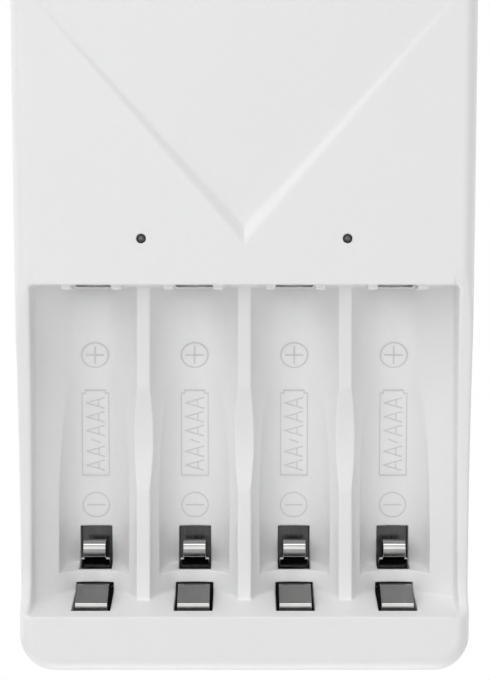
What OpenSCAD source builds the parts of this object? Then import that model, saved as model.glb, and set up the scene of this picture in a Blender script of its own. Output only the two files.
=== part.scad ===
// Plug-in wall charger for four AA or AAA cells, in millimetres.
// The origin is the middle of the plug face, between the two mains pins.
// +Y runs along the pins into the wall, +Z up the wall, and the front looks towards -Y.
// Inside the modules, Y is the depth behind the front face and Z the height above the bottom edge.

/* [Body] */
// Height of the body up the wall
body_length = 116; // [112:0.5:124]
// Width of the body at its top edge
body_width_top = 76.8; // [75.6:0.2:82]
// Width of the body at its bottom edge
body_width_bottom = 73.2; // [73:0.2:78]
// Depth of the body from front face to back face
body_thickness = 28; // [27:0.5:34]
// Depth of the seam between front housing and rear cover
seam_depth = 20; // [19.8:0.1:21]
// Radius of the corners seen from the front
corner_radius = 5.8; // [4.5:0.1:8]
// Radius along the front edges
front_fillet = 2.4; // [1:0.1:3]
// Radius along the back edges
rear_fillet = 2.6; // [1:0.1:3.2]
// Wall thickness of housing and cover
wall = 1.8; // [1.4:0.1:2.2]
// Thickness of the front wall
front_wall = 2.9; // [2.4:0.1:3.4]

/* [Front recess] */
// Height of the recess point above the bay
recess_rise = 6.9; // [5:0.1:12]
// Height of the recess from its point to where it runs out
recess_height = 41; // [30:0.5:41]
// Angle of each recess arm from upright
recess_angle = 40.7; // [30:0.1:41]
// Depth of the recess at its point
recess_depth = 1.3; // [0.5:0.1:1.5]
// Length of the valley between the two recess walls
recess_valley = 2.6; // [1.5:0.1:4]

/* [Battery bay] */
// Height of the lip below the bay
lip_height = 9; // [8.6:0.1:11]
// Height of the bay opening
bay_length = 54; // [53:0.1:55]
// Width of the bay opening
bay_width = 70; // [69.6:0.1:70.6]
// Radius of the upper corners of the bay opening
bay_corner = 0.7; // [0.3:0.1:2]
// Distance from slot to slot
slot_pitch = 16.8; // [16.6:0.05:16.9]
// Radius of an AA trough
trough_radius = 7.78; // [7.4:0.02:7.8]
// Depth of the AA trough axis
trough_axis_depth = 5.2; // [4.8:0.1:5.6]
// Depth of the flat rib tops
rib_depth = 7.84; // [7.4:0.02:8.4]
// Slope of the outer flank of the outer slots
flank_angle = 33; // [30:1:36]
// Lean of the lower end walls from square
end_wall_lean = 12.4; // [8:0.1:13]
// Thickness of the bay floor
floor_wall = 1.5; // [1.2:0.1:1.6]
// Length of the finger scoop across the ribs
scoop_length = 16.8; // [10:0.2:20]
// Depth of the finger scoop
scoop_depth = 1.14; // [0.4:0.02:1.4]
// Height of the scoop middle above the lip
scoop_height = 28.6; // [24:0.2:32]
// Depth that the side walls dip to
dip_depth = 4.55; // [3:0.05:5]
// Height above the lip where the dip levels out
dip_level = 16; // [12:0.5:24]
// Radius where the dip rises to the lip
dip_radius = 7; // [5.2:0.1:8]
// Height of the dip start above the bay
dip_start = 0.8; // [0.4:0.1:3]

/* [AAA groove] */
// Radius of an AAA groove
groove_radius = 5.86; // [5.5:0.02:6]
// Slope of the groove to the front face
groove_angle = 6.93; // [5:0.01:7.2]
// Depth of the groove floor where the slope is measured
groove_depth = 12.9; // [12.4:0.1:13.1]
// Height of that place above the lip
groove_height = 42.5; // [38:0.5:44]
// Distance from the AA end wall up to the AAA end wall
groove_step = 3.4; // [3.2:0.1:4]

/* [Polarity tabs] */
// Distance between the two tabs of a slot
tab_spacing = 8.2; // [7.8:0.1:9]
// Width of a tab
tab_width = 1.66; // [1:0.02:1.8]
// Depth of the tab front
tab_depth = 2.9; // [2:0.1:4]
// Length of a tab into the bay
tab_length = 7; // [4:0.5:8]
// Height that a tab stands out of the bay wall
tab_proud = 0.66; // [0.4:0.02:0.9]

/* [Contacts] */
// Thickness of the spring strip
strip = 0.3; // [0.2:0.02:0.36]
// Radius of the rolled foot, to the middle of the strip
foot_radius = 0.45; // [0.4:0.01:0.5]
// Clearance between a rolled foot and the circuit board
foot_gap = 0.15; // [0.1:0.01:0.2]
// Radius of the easy bends in a contact strip
bend_radius = 0.8; // [0.6:0.05:1]
// Radius of the tight folds in a contact strip
fold_radius = 0.5; // [0.4:0.05:0.6]
// Width of an AA contact
aa_width = 5.3; // [4.5:0.1:5.6]
// Width of the AA contact window
aa_window = 6.3; // [6.1:0.1:6.4]
// Depth of the AA window's upper edge
aa_window_depth = 2.9; // [2.9:0.05:3.1]
// Length of floor that the AA window takes
aa_floor_cut = 1.3; // [1.1:0.1:1.4]
// Depth of the AA contact nose
aa_nose_depth = 8.2; // [7.6:0.1:8.8]
// Height that the AA nose stands out of the end wall
aa_nose_proud = 2.45; // [2.2:0.05:2.6]
// Depth of the AA contact's upper fold
aa_fold_depth = 3.45; // [3.4:0.05:4]
// Height of the AA contact's upper fold above the end wall
aa_fold_proud = 0.7; // [0.5:0.05:0.9]
// Length of the AA contact's folded tail
aa_tail = 1.68; // [1.4:0.02:1.8]
// Distance from the AA nose back to the bend that raises it
aa_rise_run = 3.3; // [2.8:0.1:3.8]
// Width of the AAA contact foot
aaa_width = 4.8; // [4.2:0.1:5]
// Width of the AAA contact tongue
aaa_tongue = 3.75; // [3:0.05:4]
// Width of the AAA contact window
aaa_window = 5.4; // [5.3:0.1:5.8]
// Depth of the AAA window's upper edge in the end wall
aaa_window_depth = 13.4; // [13.2:0.1:14]
// Length of groove floor that the AAA window takes
aaa_floor_cut = 6.2; // [5.6:0.1:7]
// Depth of the AAA contact hump
aaa_nose_depth = 10.9; // [10.5:0.1:11.4]
// Height of the AAA hump face above the AAA end wall
aaa_nose_proud = 5.0; // [4.6:0.1:5.4]
// Radius of the AAA hump, to the middle of the strip
aaa_hump_radius = 0.83; // [0.6:0.01:0.9]
// Length of the AAA contact's hump face
aaa_tail = 3.4; // [2.8:0.1:3.6]
// Distance from the AAA hump back to the knee below it
aaa_knee_run = 1.25; // [1.2:0.05:1.5]
// Distance of the AAA contact's foot below the AAA end wall
aaa_foot_drop = 1.9; // [1.6:0.1:2.1]
// Distance from the rolled AAA foot up to the fixed plate behind the AAA window
anchor_rise = 1; // [0.8:0.1:1.4]
// Height of that plate above the window's upper edge
anchor_cover = 1.5; // [1:0.1:2]
// Clearance between that plate and the back of the groove floor
anchor_gap = 0.15; // [0.1:0.01:0.2]
// Width of that plate's tail to the board
anchor_tail = 2; // [1.5:0.1:3]
// Width of a positive contact
plus_width = 6; // [5:0.1:6]
// Thickness of a positive contact
plus_thickness = 0.4; // [0.3:0.02:0.44]
// Height of a positive contact above the face of the bay's top wall
plus_sink = 0.4; // [0.3:0.05:0.6]
// Width of the positive contact's tail
plus_tail = 2; // [1.5:0.1:3]
// Length of the positive contact's tail in front of the housing's back
plus_tail_length = 2; // [1:0.1:3]

/* [Circuit board] */
// Depth of the board's front face
board_depth = 19.4; // [19.2:0.1:19.8]
// Thickness of the board
board_thickness = 1.6; // [1:0.1:2]
// Gap between board edge and housing wall
board_gap = 0.5; // [0.3:0.1:1]
// Clearance between board and the moulded floor in front of it
board_clearance = 0.8; // [0.6:0.1:1]

/* [Board parts] */
// Gap between neighbouring parts
part_gap = 0.6; // [0.4:0.1:0.8]
// Width of the transformer
transformer_width = 21; // [19:0.5:22]
// Length of the transformer up the board
transformer_length = 15; // [14:0.5:16]
// Thickness of the bobbin's foot
bobbin_foot = 2.5; // [2:0.1:3]
// Height of the winding
winding_height = 9; // [8:0.1:9.4]
// Thickness of the bobbin's upper flange
bobbin_flange = 1.2; // [0.8:0.1:1.4]
// Width of the bobbin's tube
bobbin_tube = 7; // [6:0.5:8]
// Width of the winding
winding_width = 13; // [12:0.5:13.5]
// Thickness of the core
core_thickness = 2.5; // [2:0.1:2.6]
// Length of the core up the board
core_length = 8; // [7:0.5:10]
// Diameter of the mains capacitor
mains_capacitor_diameter = 10; // [8:0.5:11]
// Length of the mains capacitor
mains_capacitor_length = 18; // [14:0.5:19]
// Diameter of the output capacitor
output_capacitor_diameter = 8; // [6:0.5:9]
// Height of the output capacitor
output_capacitor_height = 12; // [9:0.5:14]
// Diameter of the input choke
choke_diameter = 8; // [6:0.5:9]
// Height of the input choke
choke_height = 10; // [8:0.5:14]
// Width of the safety capacitor
safety_capacitor_width = 13; // [10:0.5:14]
// Thickness of the safety capacitor
safety_capacitor_thickness = 5; // [4:0.5:6]
// Height of the safety capacitor
safety_capacitor_height = 10; // [8:0.5:14]
// Diameter of the fuse resistor
fuse_diameter = 4; // [3:0.5:4.5]
// Length of the fuse resistor
fuse_length = 11; // [8:0.5:14]
// Side of the bridge rectifier
bridge_width = 6.5; // [5:0.1:7]
// Height of the bridge rectifier
bridge_height = 2.6; // [2:0.1:3.5]
// Width of the switching chip
switch_width = 9.5; // [8:0.1:10.5]
// Length of the switching chip up the board
switch_length = 6.5; // [5.5:0.1:7.5]
// Height of the switching chip
switch_height = 3.4; // [2.5:0.1:4]
// Width of the charge controller
controller_width = 10; // [8:0.1:11]
// Length of the charge controller up the board
controller_length = 4; // [3:0.1:5]
// Height of the charge controller
controller_height = 1.8; // [1.2:0.1:2.4]

/* [Mains plug] */
// Height of the plug middle above the bottom edge
plug_height = 86; // [84:0.5:90]
// Length of the plug neck behind the body
plug_length = 18; // [17:0.5:20]
// Width of the plug neck
plug_width = 35.3; // [33:0.1:36]
// Height of the plug neck
plug_depth = 13.7; // [13:0.1:14]
// Chamfer at the four plug edges
plug_chamfer = 4.5; // [3:0.1:5]
// Wall of the plug neck
plug_wall = 2.2; // [1.8:0.1:2.6]
// Thickness of the plug's end face
plug_face = 2.5; // [2:0.1:3.5]
// Distance between the pin axes
pin_spacing = 19; // [18:0.1:19.2]
// Diameter of a mains pin
pin_diameter = 4; // [3.8:0.05:4.2]
// Length of a mains pin outside the plug face
pin_length = 19; // [18:0.5:19.5]
// Length of the insulating sleeve on a pin
sleeve_length = 10; // [8:0.5:11]
// Wall of the insulating sleeve
sleeve_wall = 0.4; // [0.3:0.05:0.6]
// Diameter of the lead from pin to board
lead_diameter = 1.4; // [1:0.1:1.8]
// Diameter of the rivet head at a pin's inner end
rivet_diameter = 5; // [4.6:0.1:5.4]
// Height of the rivet head
rivet_height = 1; // [0.6:0.1:1.4]

/* [Cover screws] */
// Diameter of the screw shank
screw_diameter = 2.2; // [2:0.1:2.6]
// Diameter of the screw head
screw_head = 4.6; // [4:0.1:5]
// Height of the screw head
screw_head_height = 1.6; // [1.2:0.1:2]
// Thickness of the post between the board and the screw head
screw_floor = 1.8; // [1.2:0.1:2.4]
// Length of the screw shank
screw_length = 13; // [10:0.5:14]
// Diameter of the posts that take the screws
post_diameter = 6; // [5.4:0.1:6.4]
// Distance of the screws from the body sides
screw_inset = 5.2; // [5:0.1:5.6]
// Height of the lower screws above the bottom edge
screw_low = 5; // [4.9:0.1:5.4]

/* [Status lights] */
// Diameter of the light guide at the front face
guide_tip = 1.45; // [1.2:0.05:2]
// Diameter of the light guide's body
guide_body = 3; // [2.6:0.1:3.4]
// Diameter of the light guide's flange
guide_flange = 4; // [3.6:0.1:4.6]
// Thickness of the light guide's flange
guide_flange_height = 1; // [0.6:0.1:1.4]
// Gap between light guide and diode
guide_gap = 0.2; // [0.1:0.05:0.4]
// Height of the lights above the bay
led_rise = 7.5; // [6:0.1:12]
// Diameter of a light-emitting diode
led_diameter = 3; // [2.6:0.1:3.2]
// Height of a light-emitting diode on the board
led_height = 4.5; // [3.5:0.1:5]
// Diameter of the collar at the diode's foot
led_collar = 3.8; // [3.4:0.1:4.2]
// Height of that collar
led_collar_height = 0.8; // [0.5:0.1:1]

/* [Hidden] */
$fn = 48;

// Overshoot of a cut past the face that it opens
cut = 1;
// Fit between parts that slide together on assembly
fit = 0.1;
// Steps in a bend of a contact strip and in its rolled foot
bend_steps = 8;
roll_steps = 16;
// Turn of the rolled foot, and slope of the AA contact's folded tail from upright
roll_turn = 260;
tail_angle = 22.8;

// Side slope, and the centres of the corner arcs
taper = (body_width_top - body_width_bottom) / 2 / body_length;
side_ratio = sqrt(1 + taper * taper);
corner_low = [body_width_bottom / 2 + (taper - side_ratio) * corner_radius, corner_radius];
corner_high = [body_width_top / 2 - (taper + side_ratio) * corner_radius,
               body_length - corner_radius];

bay_top = lip_height + bay_length;
bay_half = bay_width / 2;
lean = tan(end_wall_lean);
lean_wall = wall / cos(end_wall_lean);
floor_depth = trough_axis_depth + trough_radius;
shell_back = board_depth - board_clearance;
slot_x = [for (i = [-1.5:1:1.5]) i * slot_pitch];
rib_x = [for (i = [-1:1]) i * slot_pitch];
rib_width = slot_pitch - 2 * sqrt(pow(trough_radius, 2) - pow(rib_depth - trough_axis_depth, 2));
board_back = board_depth + board_thickness;
cover_floor = body_thickness - wall;
screw_seat = board_back + screw_floor;
led_z = bay_top + led_rise;
plug_back = body_thickness + plug_length;

// Height of the AA end wall and of the AAA end wall at a given depth
function end_z(depth) = lip_height + depth * lean;
function groove_end_z(depth) = end_z(depth) + groove_step;
// Half width of the body at a given height
function half_width(z) = body_width_bottom / 2 + taper * z;
// Depth of the AAA groove axis at a given height
function groove_axis(z) = groove_depth - groove_radius / cos(groove_angle)
    + (lip_height + groove_height - z) * tan(groove_angle);
// Upper edge of the AAA window, where the plate behind it rests close to the groove floor's back
aaa_edge = groove_end_z(shell_back - floor_wall) + aaa_floor_cut;
anchor_depth = groove_axis(aaa_edge) + (groove_radius + floor_wall) / cos(groove_angle) + anchor_gap;
// Direction of a vector
function unit(v) = v / norm(v);

screw_places = [for (side = [-1, 1], z = [screw_low, body_length - corner_radius])
    [side * (half_width(z) - screw_inset), z]];

// Puts a part from the body's own measures into the plug's frame
module place() translate([0, -plug_back, -plug_height]) children();

// Extrudes a side profile, drawn as depth and height, across the body
module along_x(width) rotate([90, 0, 90])
    translate([0, 0, -width / 2]) linear_extrude(width) children();

// Extrudes a front outline between two depths
module along_depth(near, far) translate([0, far, 0]) rotate([90, 0, 0])
    linear_extrude(far - near) children();

// Round bar that runs from one depth to another
module rod(x, z, near, far, diameter) translate([x, near, z]) rotate([-90, 0, 0])
    cylinder(d = diameter, h = far - near);

// Block between two depths, centred on a place of the board
module block(x, z, near, far, width, height)
    translate([x - width / 2, near, z - height / 2]) cube([width, far - near, height]);

// Front outline of the body, moved inwards by an inset
module outline(inset = 0) {
    r = corner_radius - inset;
    half = [[corner_low.x, corner_low.y - r],
            [corner_low.x + r / side_ratio, corner_low.y - taper * r / side_ratio],
            [corner_high.x + r / side_ratio, corner_high.y - taper * r / side_ratio],
            [corner_high.x, corner_high.y + r]];
    polygon(concat(half, [for (i = [3:-1:0]) [-half[i].x, half[i].y]]));
    for (side = [-1, 1], c = [corner_low, corner_high])
        translate([side * c.x, c.y]) circle(r);
}

// Slab of the body outline whose front edges are rounded
module rounded_slab(depth, fillet) hull() for (side = [-1, 1], c = [corner_low, corner_high])
    translate([side * c.x, 0, c.y]) rotate([-90, 0, 0]) {
        translate([0, 0, fillet]) rotate_extrude($fn = 40)
            translate([corner_radius - fillet, 0]) circle(fillet, $fn = 32);
        translate([0, 0, fillet]) cylinder(r = corner_radius, h = depth - fillet, $fn = 40);
    }

// Cylinders along the four AA troughs
module trough_bars(radius) for (x = slot_x) translate([x, trough_axis_depth, 0])
    cylinder(r = radius, h = bay_top + wall);

// Cylinders along the four sloping AAA grooves
module groove_bars(radius) for (x = slot_x) translate([x, groove_axis(0), 0])
    rotate([groove_angle, 0, 0]) cylinder(r = radius, h = (bay_top + wall) / cos(groove_angle));

// Side profile of the space between a leaning end wall and the top wall
module bay_range(near, far, below, above) polygon([
    [near, end_z(near) + below], [far, end_z(far) + below],
    [far, bay_top + above], [near, bay_top + above]]);

// Outer flank beside an outer slot, as a slab or as the space in front of it
module flank(near, far) {
    x0 = slot_x[3] + trough_radius * sin(flank_angle);
    y0 = trough_axis_depth + trough_radius * cos(flank_angle);
    x1 = bay_half + far / 2;
    y1 = y0 - (x1 - x0) * tan(flank_angle);
    for (side = [0, 1]) mirror([side, 0, 0]) linear_extrude(bay_top + wall) polygon([
        [x0 - near, y0 + far], [x0, y0 + far], [x1, y1 + far],
        [x1, y1 - near], [x0 - near, y0 - near]]);
}

// Solid floor, ribs and end walls of the bay
module bay_solid() {
    intersection() {
        union() {
            trough_bars(trough_radius + floor_wall);
            flank(floor_wall, 2 * floor_wall);
            for (x = rib_x) translate([x - rib_width / 2, rib_depth, 0])
                cube([rib_width, floor_depth - rib_depth, bay_top + wall]);
        }
        along_x(body_width_top) bay_range(front_wall, floor_depth + floor_wall, -lean_wall, wall);
    }
    intersection() {
        groove_bars(groove_radius + floor_wall);
        along_x(body_width_top) bay_range(front_wall, shell_back, groove_step - lean_wall, wall);
    }
    along_x(bay_width + wall) polygon([
        [front_wall / 2, end_z(front_wall / 2)], [floor_depth, end_z(floor_depth)],
        [floor_depth, end_z(floor_depth) - lean_wall], [front_wall / 2, end_z(front_wall / 2) - lean_wall]]);
    translate([-bay_half - wall / 2, front_wall / 2, bay_top])
        cube([bay_width + wall, shell_back - front_wall / 2, wall]);
}

// Front outline of the bay, with its small upper corner arcs
module bay_outline() {
    translate([-bay_half, 0]) square([bay_width, bay_top - bay_corner]);
    translate([bay_corner - bay_half, 0]) square([bay_width - 2 * bay_corner, bay_top]);
    for (side = [-1, 1]) translate([side * (bay_half - bay_corner), bay_top - bay_corner])
        circle(bay_corner);
}

// Shallow finger scoop across the ribs
module scoop() {
    radius = (pow(scoop_length / 2, 2) + pow(scoop_depth, 2)) / (2 * scoop_depth);
    intersection() {
        along_x(2 * slot_pitch + trough_radius)
            translate([rib_depth + scoop_depth - radius, lip_height + scoop_height]) circle(radius);
        translate([-bay_half, 0, lip_height]) cube([bay_width, rib_depth + cut * 2, bay_length]);
    }
}

// Open space of the bay: troughs, flanks, scoop and AAA grooves
module bay_space() {
    intersection() {
        union() {
            along_depth(-cut, rib_depth) bay_outline();
            trough_bars(trough_radius);
            intersection() {
                flank(floor_wall, 0);
                translate([-bay_half, 0, 0]) cube([bay_width, seam_depth, bay_top]);
            }
            scoop();
        }
        along_x(bay_width + cut) bay_range(-2 * cut, seam_depth, 0, 0);
    }
    intersection() {
        groove_bars(groove_radius);
        along_x(bay_width) bay_range(trough_axis_depth, seam_depth, groove_step, 0);
    }
}

// Long dip of the side walls, seen from the side
module dip_profile() {
    start = bay_top + dip_start;
    level = lip_height + dip_level;
    foot = lip_height + sqrt(pow(dip_radius, 2) - pow(dip_radius - dip_depth, 2));
    arc = (pow(start - level, 2) + pow(dip_depth, 2)) / (2 * dip_depth);
    translate([-cut, foot]) square([cut + dip_depth, level - foot]);
    translate([dip_depth - dip_radius, foot]) circle(dip_radius);
    intersection() {
        translate([dip_depth - arc, level]) circle(arc, $fn = 180);
        translate([-cut, level - cut]) square([2 * cut + dip_depth, start - level + cut]);
    }
}

module side_dips() for (side = [-1, 1])
    translate([side * (bay_half + corner_radius - cut / 2), 0, 0])
        along_x(2 * corner_radius) dip_profile();

// Triangular recess, deepest at its lower point and running out towards the top
module front_recess() {
    point = bay_top + recess_rise;
    reach = recess_height * tan(recess_angle);
    polyhedron(
        points = [[0, 0, point], [0, recess_depth, point + recess_valley],
                  [-reach, 0, point + recess_height], [reach, 0, point + recess_height]],
        faces = [[0, 2, 3], [0, 1, 2], [0, 3, 1], [1, 3, 2]]);
}

// Windows in the bay through which the sprung contacts reach
module contact_windows() for (x = slot_x) {
    aa_edge = end_z(floor_depth) + aa_floor_cut;
    translate([x - aa_window / 2, aa_window_depth, wall])
        cube([aa_window, seam_depth, aa_edge - wall]);
    aaa_low = groove_end_z(aaa_window_depth) - groove_step + floor_wall / 2;
    translate([x - aaa_window / 2, aaa_window_depth, aaa_low])
        cube([aaa_window, seam_depth, aaa_edge - aaa_low]);
    plus_top = bay_top + plus_sink + plus_thickness;
    for (cut_from = [[bay_top - fit, floor_depth], [bay_top + plus_sink - fit, seam_depth]])
        translate([x - plus_width / 2 - fit, tab_depth - 2 * fit, cut_from[0]])
            cube([plus_width + 2 * fit, cut_from[1] - tab_depth, plus_top - cut_from[0]]);
}

module polarity_tabs() for (x = slot_x, side = [-1, 1])
    translate([x + side * tab_spacing / 2 - tab_width / 2, tab_depth, bay_top - tab_proud])
        cube([tab_width, tab_length, tab_proud + fit]);

module front_housing() color("whitesmoke") place() {
    difference() {
        union() {
            difference() {
                rounded_slab(seam_depth, front_fillet);
                along_depth(front_wall, seam_depth + cut) outline(wall);
            }
            bay_solid();
            for (p = screw_places) rod(p.x, p.y, front_wall / 2, board_depth, post_diameter);
        }
        bay_space();
        side_dips();
        front_recess();
        contact_windows();
        for (side = [-1, 1]) rod(side * slot_pitch, led_z, -cut, front_wall + cut, guide_tip + fit);
        for (p = screw_places) rod(p.x, p.y, screw_seat - screw_length - cut, board_depth + cut,
                                   screw_diameter + fit);
    }
    polarity_tabs();
}

// Outline of the plug neck: a long flat octagon
module plug_outline(inset = 0) {
    w = plug_width / 2 - inset;
    h = plug_depth / 2 - inset;
    polygon([[w, plug_chamfer - h], [w, h - plug_chamfer], [w - plug_chamfer, h],
             [plug_chamfer - w, h], [-w, h - plug_chamfer], [-w, plug_chamfer - h],
             [plug_chamfer - w, -h], [w - plug_chamfer, -h]]);
}

module rear_cover() color("whitesmoke") place() difference() {
    union() {
        difference() {
            translate([0, body_thickness, 0]) mirror([0, 1, 0])
                rounded_slab(body_thickness - seam_depth, rear_fillet);
            along_depth(seam_depth - cut, cover_floor) outline(wall);
        }
        for (p = screw_places) rod(p.x, p.y, board_back, body_thickness - wall / 2, post_diameter);
    }
    for (p = screw_places) {
        rod(p.x, p.y, board_back - cut, body_thickness + cut, screw_diameter + 2 * fit);
        rod(p.x, p.y, screw_seat, body_thickness + cut, screw_head + 2 * fit);
    }
    translate([0, 0, plug_height]) along_depth(cover_floor - cut, body_thickness + cut)
        plug_outline(-fit);
}

module plug_insert() color("whitesmoke") place() translate([0, 0, plug_height]) difference() {
    union() {
        along_depth(cover_floor, plug_back) plug_outline();
        along_depth(cover_floor - plug_wall, cover_floor) plug_outline(-plug_wall);
    }
    along_depth(cover_floor - plug_wall - cut, plug_back - plug_face) plug_outline(plug_wall);
    for (side = [-1, 1]) rod(side * pin_spacing / 2, 0, plug_back - plug_face - cut, plug_back + cut,
                             pin_diameter - 2 * sleeve_wall);
}

// Turned brass pin with a thinner shank under the sleeve and a rivet head inside
module mains_pin(side) color("silver") place() {
    x = side * pin_spacing / 2;
    shank = pin_diameter - 2 * sleeve_wall;
    rod(x, plug_height, plug_back - plug_face - rivet_height, plug_back - plug_face, rivet_diameter);
    rod(x, plug_height, plug_back - plug_face, plug_back + sleeve_length, shank);
    rod(x, plug_height, plug_back + sleeve_length, plug_back + pin_length - pin_diameter / 2, pin_diameter);
    translate([x, plug_back + pin_length - pin_diameter / 2, plug_height]) sphere(d = pin_diameter);
}

module pin_sleeve(side) color("dimgray") place() difference() {
    rod(side * pin_spacing / 2, plug_height, plug_back, plug_back + sleeve_length, pin_diameter);
    rod(side * pin_spacing / 2, plug_height, plug_back - cut, plug_back + sleeve_length + cut,
        pin_diameter - 2 * sleeve_wall);
}

module mains_lead(side) color("goldenrod") place()
    rod(side * pin_spacing / 2, plug_height, board_depth, plug_back - plug_face - rivet_height,
        lead_diameter);

module circuit_board() color("darkgreen") place() difference() {
    along_depth(board_depth, board_back) outline(wall + board_gap);
    for (p = screw_places) rod(p.x, p.y, board_depth - cut, board_back + cut, screw_diameter + 4 * fit);
    for (side = [-1, 1]) rod(side * pin_spacing / 2, plug_height, board_depth - cut, board_back + cut,
                             lead_diameter);
}

module cover_screws() color("lightgray") place() for (p = screw_places) {
    rod(p.x, p.y, screw_seat - screw_length, screw_seat, screw_diameter);
    rod(p.x, p.y, screw_seat, screw_seat + screw_head_height, screw_head);
}

// Rows of parts on the board above the diodes: chips below, tall parts above them
chip_row = led_z + led_collar / 2 + part_gap;
tall_row = chip_row + max(switch_length, controller_length, bridge_width) + part_gap;
transformer_z = tall_row + transformer_length / 2;
transformer_side = transformer_width / 2 + part_gap;

// Depths of the transformer's layers in front of the board
winding_back = board_depth - bobbin_foot;
winding_front = winding_back - winding_height;
flange_front = winding_front - bobbin_flange;

// Bobbin of the small mains transformer: foot on the board, tube and upper flange
module transformer_bobbin() color("black") place() {
    block(0, transformer_z, winding_back, board_depth, transformer_width, transformer_length);
    block(0, transformer_z, winding_front, winding_back, bobbin_tube, bobbin_tube);
    block(0, transformer_z, flange_front, winding_front, winding_width + part_gap, winding_width + part_gap);
}

module transformer_winding() color("gold") place() difference() {
    block(0, transformer_z, winding_front, winding_back, winding_width, winding_width);
    block(0, transformer_z, winding_front - cut, winding_back + cut, bobbin_tube, bobbin_tube);
}

// Core that bridges the winding, with a leg at each side
module transformer_core() color("darkslategray") place() {
    block(0, transformer_z, flange_front - core_thickness, flange_front, transformer_width, core_length);
    for (side = [-1, 1]) block(side * (transformer_width - core_thickness) / 2, transformer_z,
                               flange_front, winding_back, core_thickness, core_length);
}

// Cylinder that lies on the board, upwards from a row
module lying_can(x, z, diameter, length)
    translate([x, board_depth - diameter / 2, z]) cylinder(d = diameter, h = length);

// Can that stands on the board, its lower edge on a row
module standing_can(x, z, diameter, height)
    rod(x, z + diameter / 2, board_depth - height, board_depth, diameter);

// Chip on the board, its lower edge on the chip row
module chip(x, width, length, height)
    block(x, chip_row + length / 2, board_depth - height, board_depth, width, length);

module mains_capacitor() color("midnightblue") place()
    lying_can(-transformer_side - mains_capacitor_diameter / 2, tall_row,
              mains_capacitor_diameter, mains_capacitor_length);
module fuse_resistor() color("tan") place()
    lying_can(-transformer_side - mains_capacitor_diameter - part_gap - fuse_diameter / 2, tall_row,
              fuse_diameter, fuse_length);
module input_choke() color("dimgray") place()
    standing_can(transformer_side + choke_diameter / 2, tall_row, choke_diameter, choke_height);
module output_capacitor() color("midnightblue") place()
    standing_can(transformer_side + choke_diameter + part_gap + output_capacitor_diameter / 2, tall_row,
                 output_capacitor_diameter, output_capacitor_height);
module safety_capacitor() color("gold") place()
    block(transformer_side + safety_capacitor_width / 2,
          tall_row + max(choke_diameter, output_capacitor_diameter) + part_gap + safety_capacitor_thickness / 2,
          board_depth - safety_capacitor_height, board_depth,
          safety_capacitor_width, safety_capacitor_thickness);
module switching_ic() color("black") place()
    chip(-(part_gap + switch_width) / 2, switch_width, switch_length, switch_height);
module charge_controller_ic() color("black") place()
    chip((part_gap + controller_width) / 2, controller_width, controller_length, controller_height);
module bridge_rectifier() color("black") place()
    chip(-1.5 * part_gap - switch_width - bridge_width / 2, bridge_width, bridge_width, bridge_height);

module status_led(side) color("lightgreen") place() {
    dome = board_depth - led_height + led_diameter / 2;
    rod(side * slot_pitch, led_z, board_depth - led_collar_height, board_depth, led_collar);
    rod(side * slot_pitch, led_z, dome, board_depth - led_collar_height, led_diameter);
    translate([side * slot_pitch, dome, led_z]) sphere(d = led_diameter);
}

// Clear rod with a flange behind the front wall, its foot just over the diode
module light_guide(side) color("dimgray") place() {
    flange_back = front_wall + guide_flange_height;
    rod(side * slot_pitch, led_z, fit, front_wall, guide_tip);
    rod(side * slot_pitch, led_z, front_wall, flange_back, guide_flange);
    rod(side * slot_pitch, led_z, flange_back, board_depth - led_height - guide_gap, guide_body);
}

// Bend of a strip at b, between the runs from a and to c, as points with their directions
function bend(a, b, c, r) = let (
    u = unit(b - a),
    v = unit(c - b),
    turn = atan2(cross(u, v), u * v),
    start = b - u * r * tan(abs(turn) / 2),
    centre = start + r * sign(turn) * [-u.y, u.x])
    [for (k = [0:bend_steps]) let (way = atan2(u.y, u.x) + turn * k / bend_steps)
        [centre + r * sign(turn) * [sin(way), -cos(way)], way]];

// Middle line of a folded strip after its first point, with a bend radius at each inner point
function strip_bends(points, radii) = let (
    last = len(points) - 1,
    run = points[last] - points[last - 1])
    concat([for (i = [1:last - 1]) each bend(points[i - 1], points[i], points[i + 1], radii[i - 1])],
        [[points[last], atan2(run.y, run.x)]]);

// Middle line of a contact's rolled foot, up to the run that leaves it in a given direction
function foot_roll(centre, way) = [for (k = [0:roll_steps])
    let (turned = way - roll_turn * (1 - k / roll_steps))
    [centre + foot_radius * [sin(turned), -cos(turned)], turned]];

// Strip of even thickness along its middle line
module folded_strip(line) {
    last = len(line) - 1;
    polygon(concat(
        [for (p = line) p[0] + strip / 2 * [-sin(p[1]), cos(p[1])]],
        [for (i = [last:-1:0]) line[i][0] - strip / 2 * [-sin(line[i][1]), cos(line[i][1])]]));
}

foot_depth = board_depth - foot_gap - foot_radius - strip / 2;
// Foot, rise, nose, fold and tail of the AA contact
aa_foot = [foot_depth, end_z(floor_depth) + foot_gap];
aa_rise = [aa_nose_depth + aa_rise_run, aa_foot.y + foot_radius];
aa_nose = [aa_nose_depth, end_z(aa_nose_depth) + aa_nose_proud];
aa_fold = [aa_fold_depth, end_z(aa_fold_depth) + aa_fold_proud];
aa_end = aa_fold + aa_tail * [sin(tail_angle), -cos(tail_angle)];
// Foot, leg, knee and hump of the AAA contact
aaa_foot = [foot_depth, groove_end_z(foot_depth) - aaa_foot_drop];
aaa_face = groove_end_z(aaa_nose_depth) + aaa_nose_proud - strip / 2;
aaa_crest = aaa_nose_depth + strip / 2;
aaa_low = aaa_face - 2 * aaa_hump_radius;
aaa_knee = [aaa_crest + aaa_knee_run, aaa_low];
aaa_leg = unit(aaa_knee - aaa_foot);
aaa_start = aaa_foot + [aaa_leg.y, -aaa_leg.x] * foot_radius;

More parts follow.
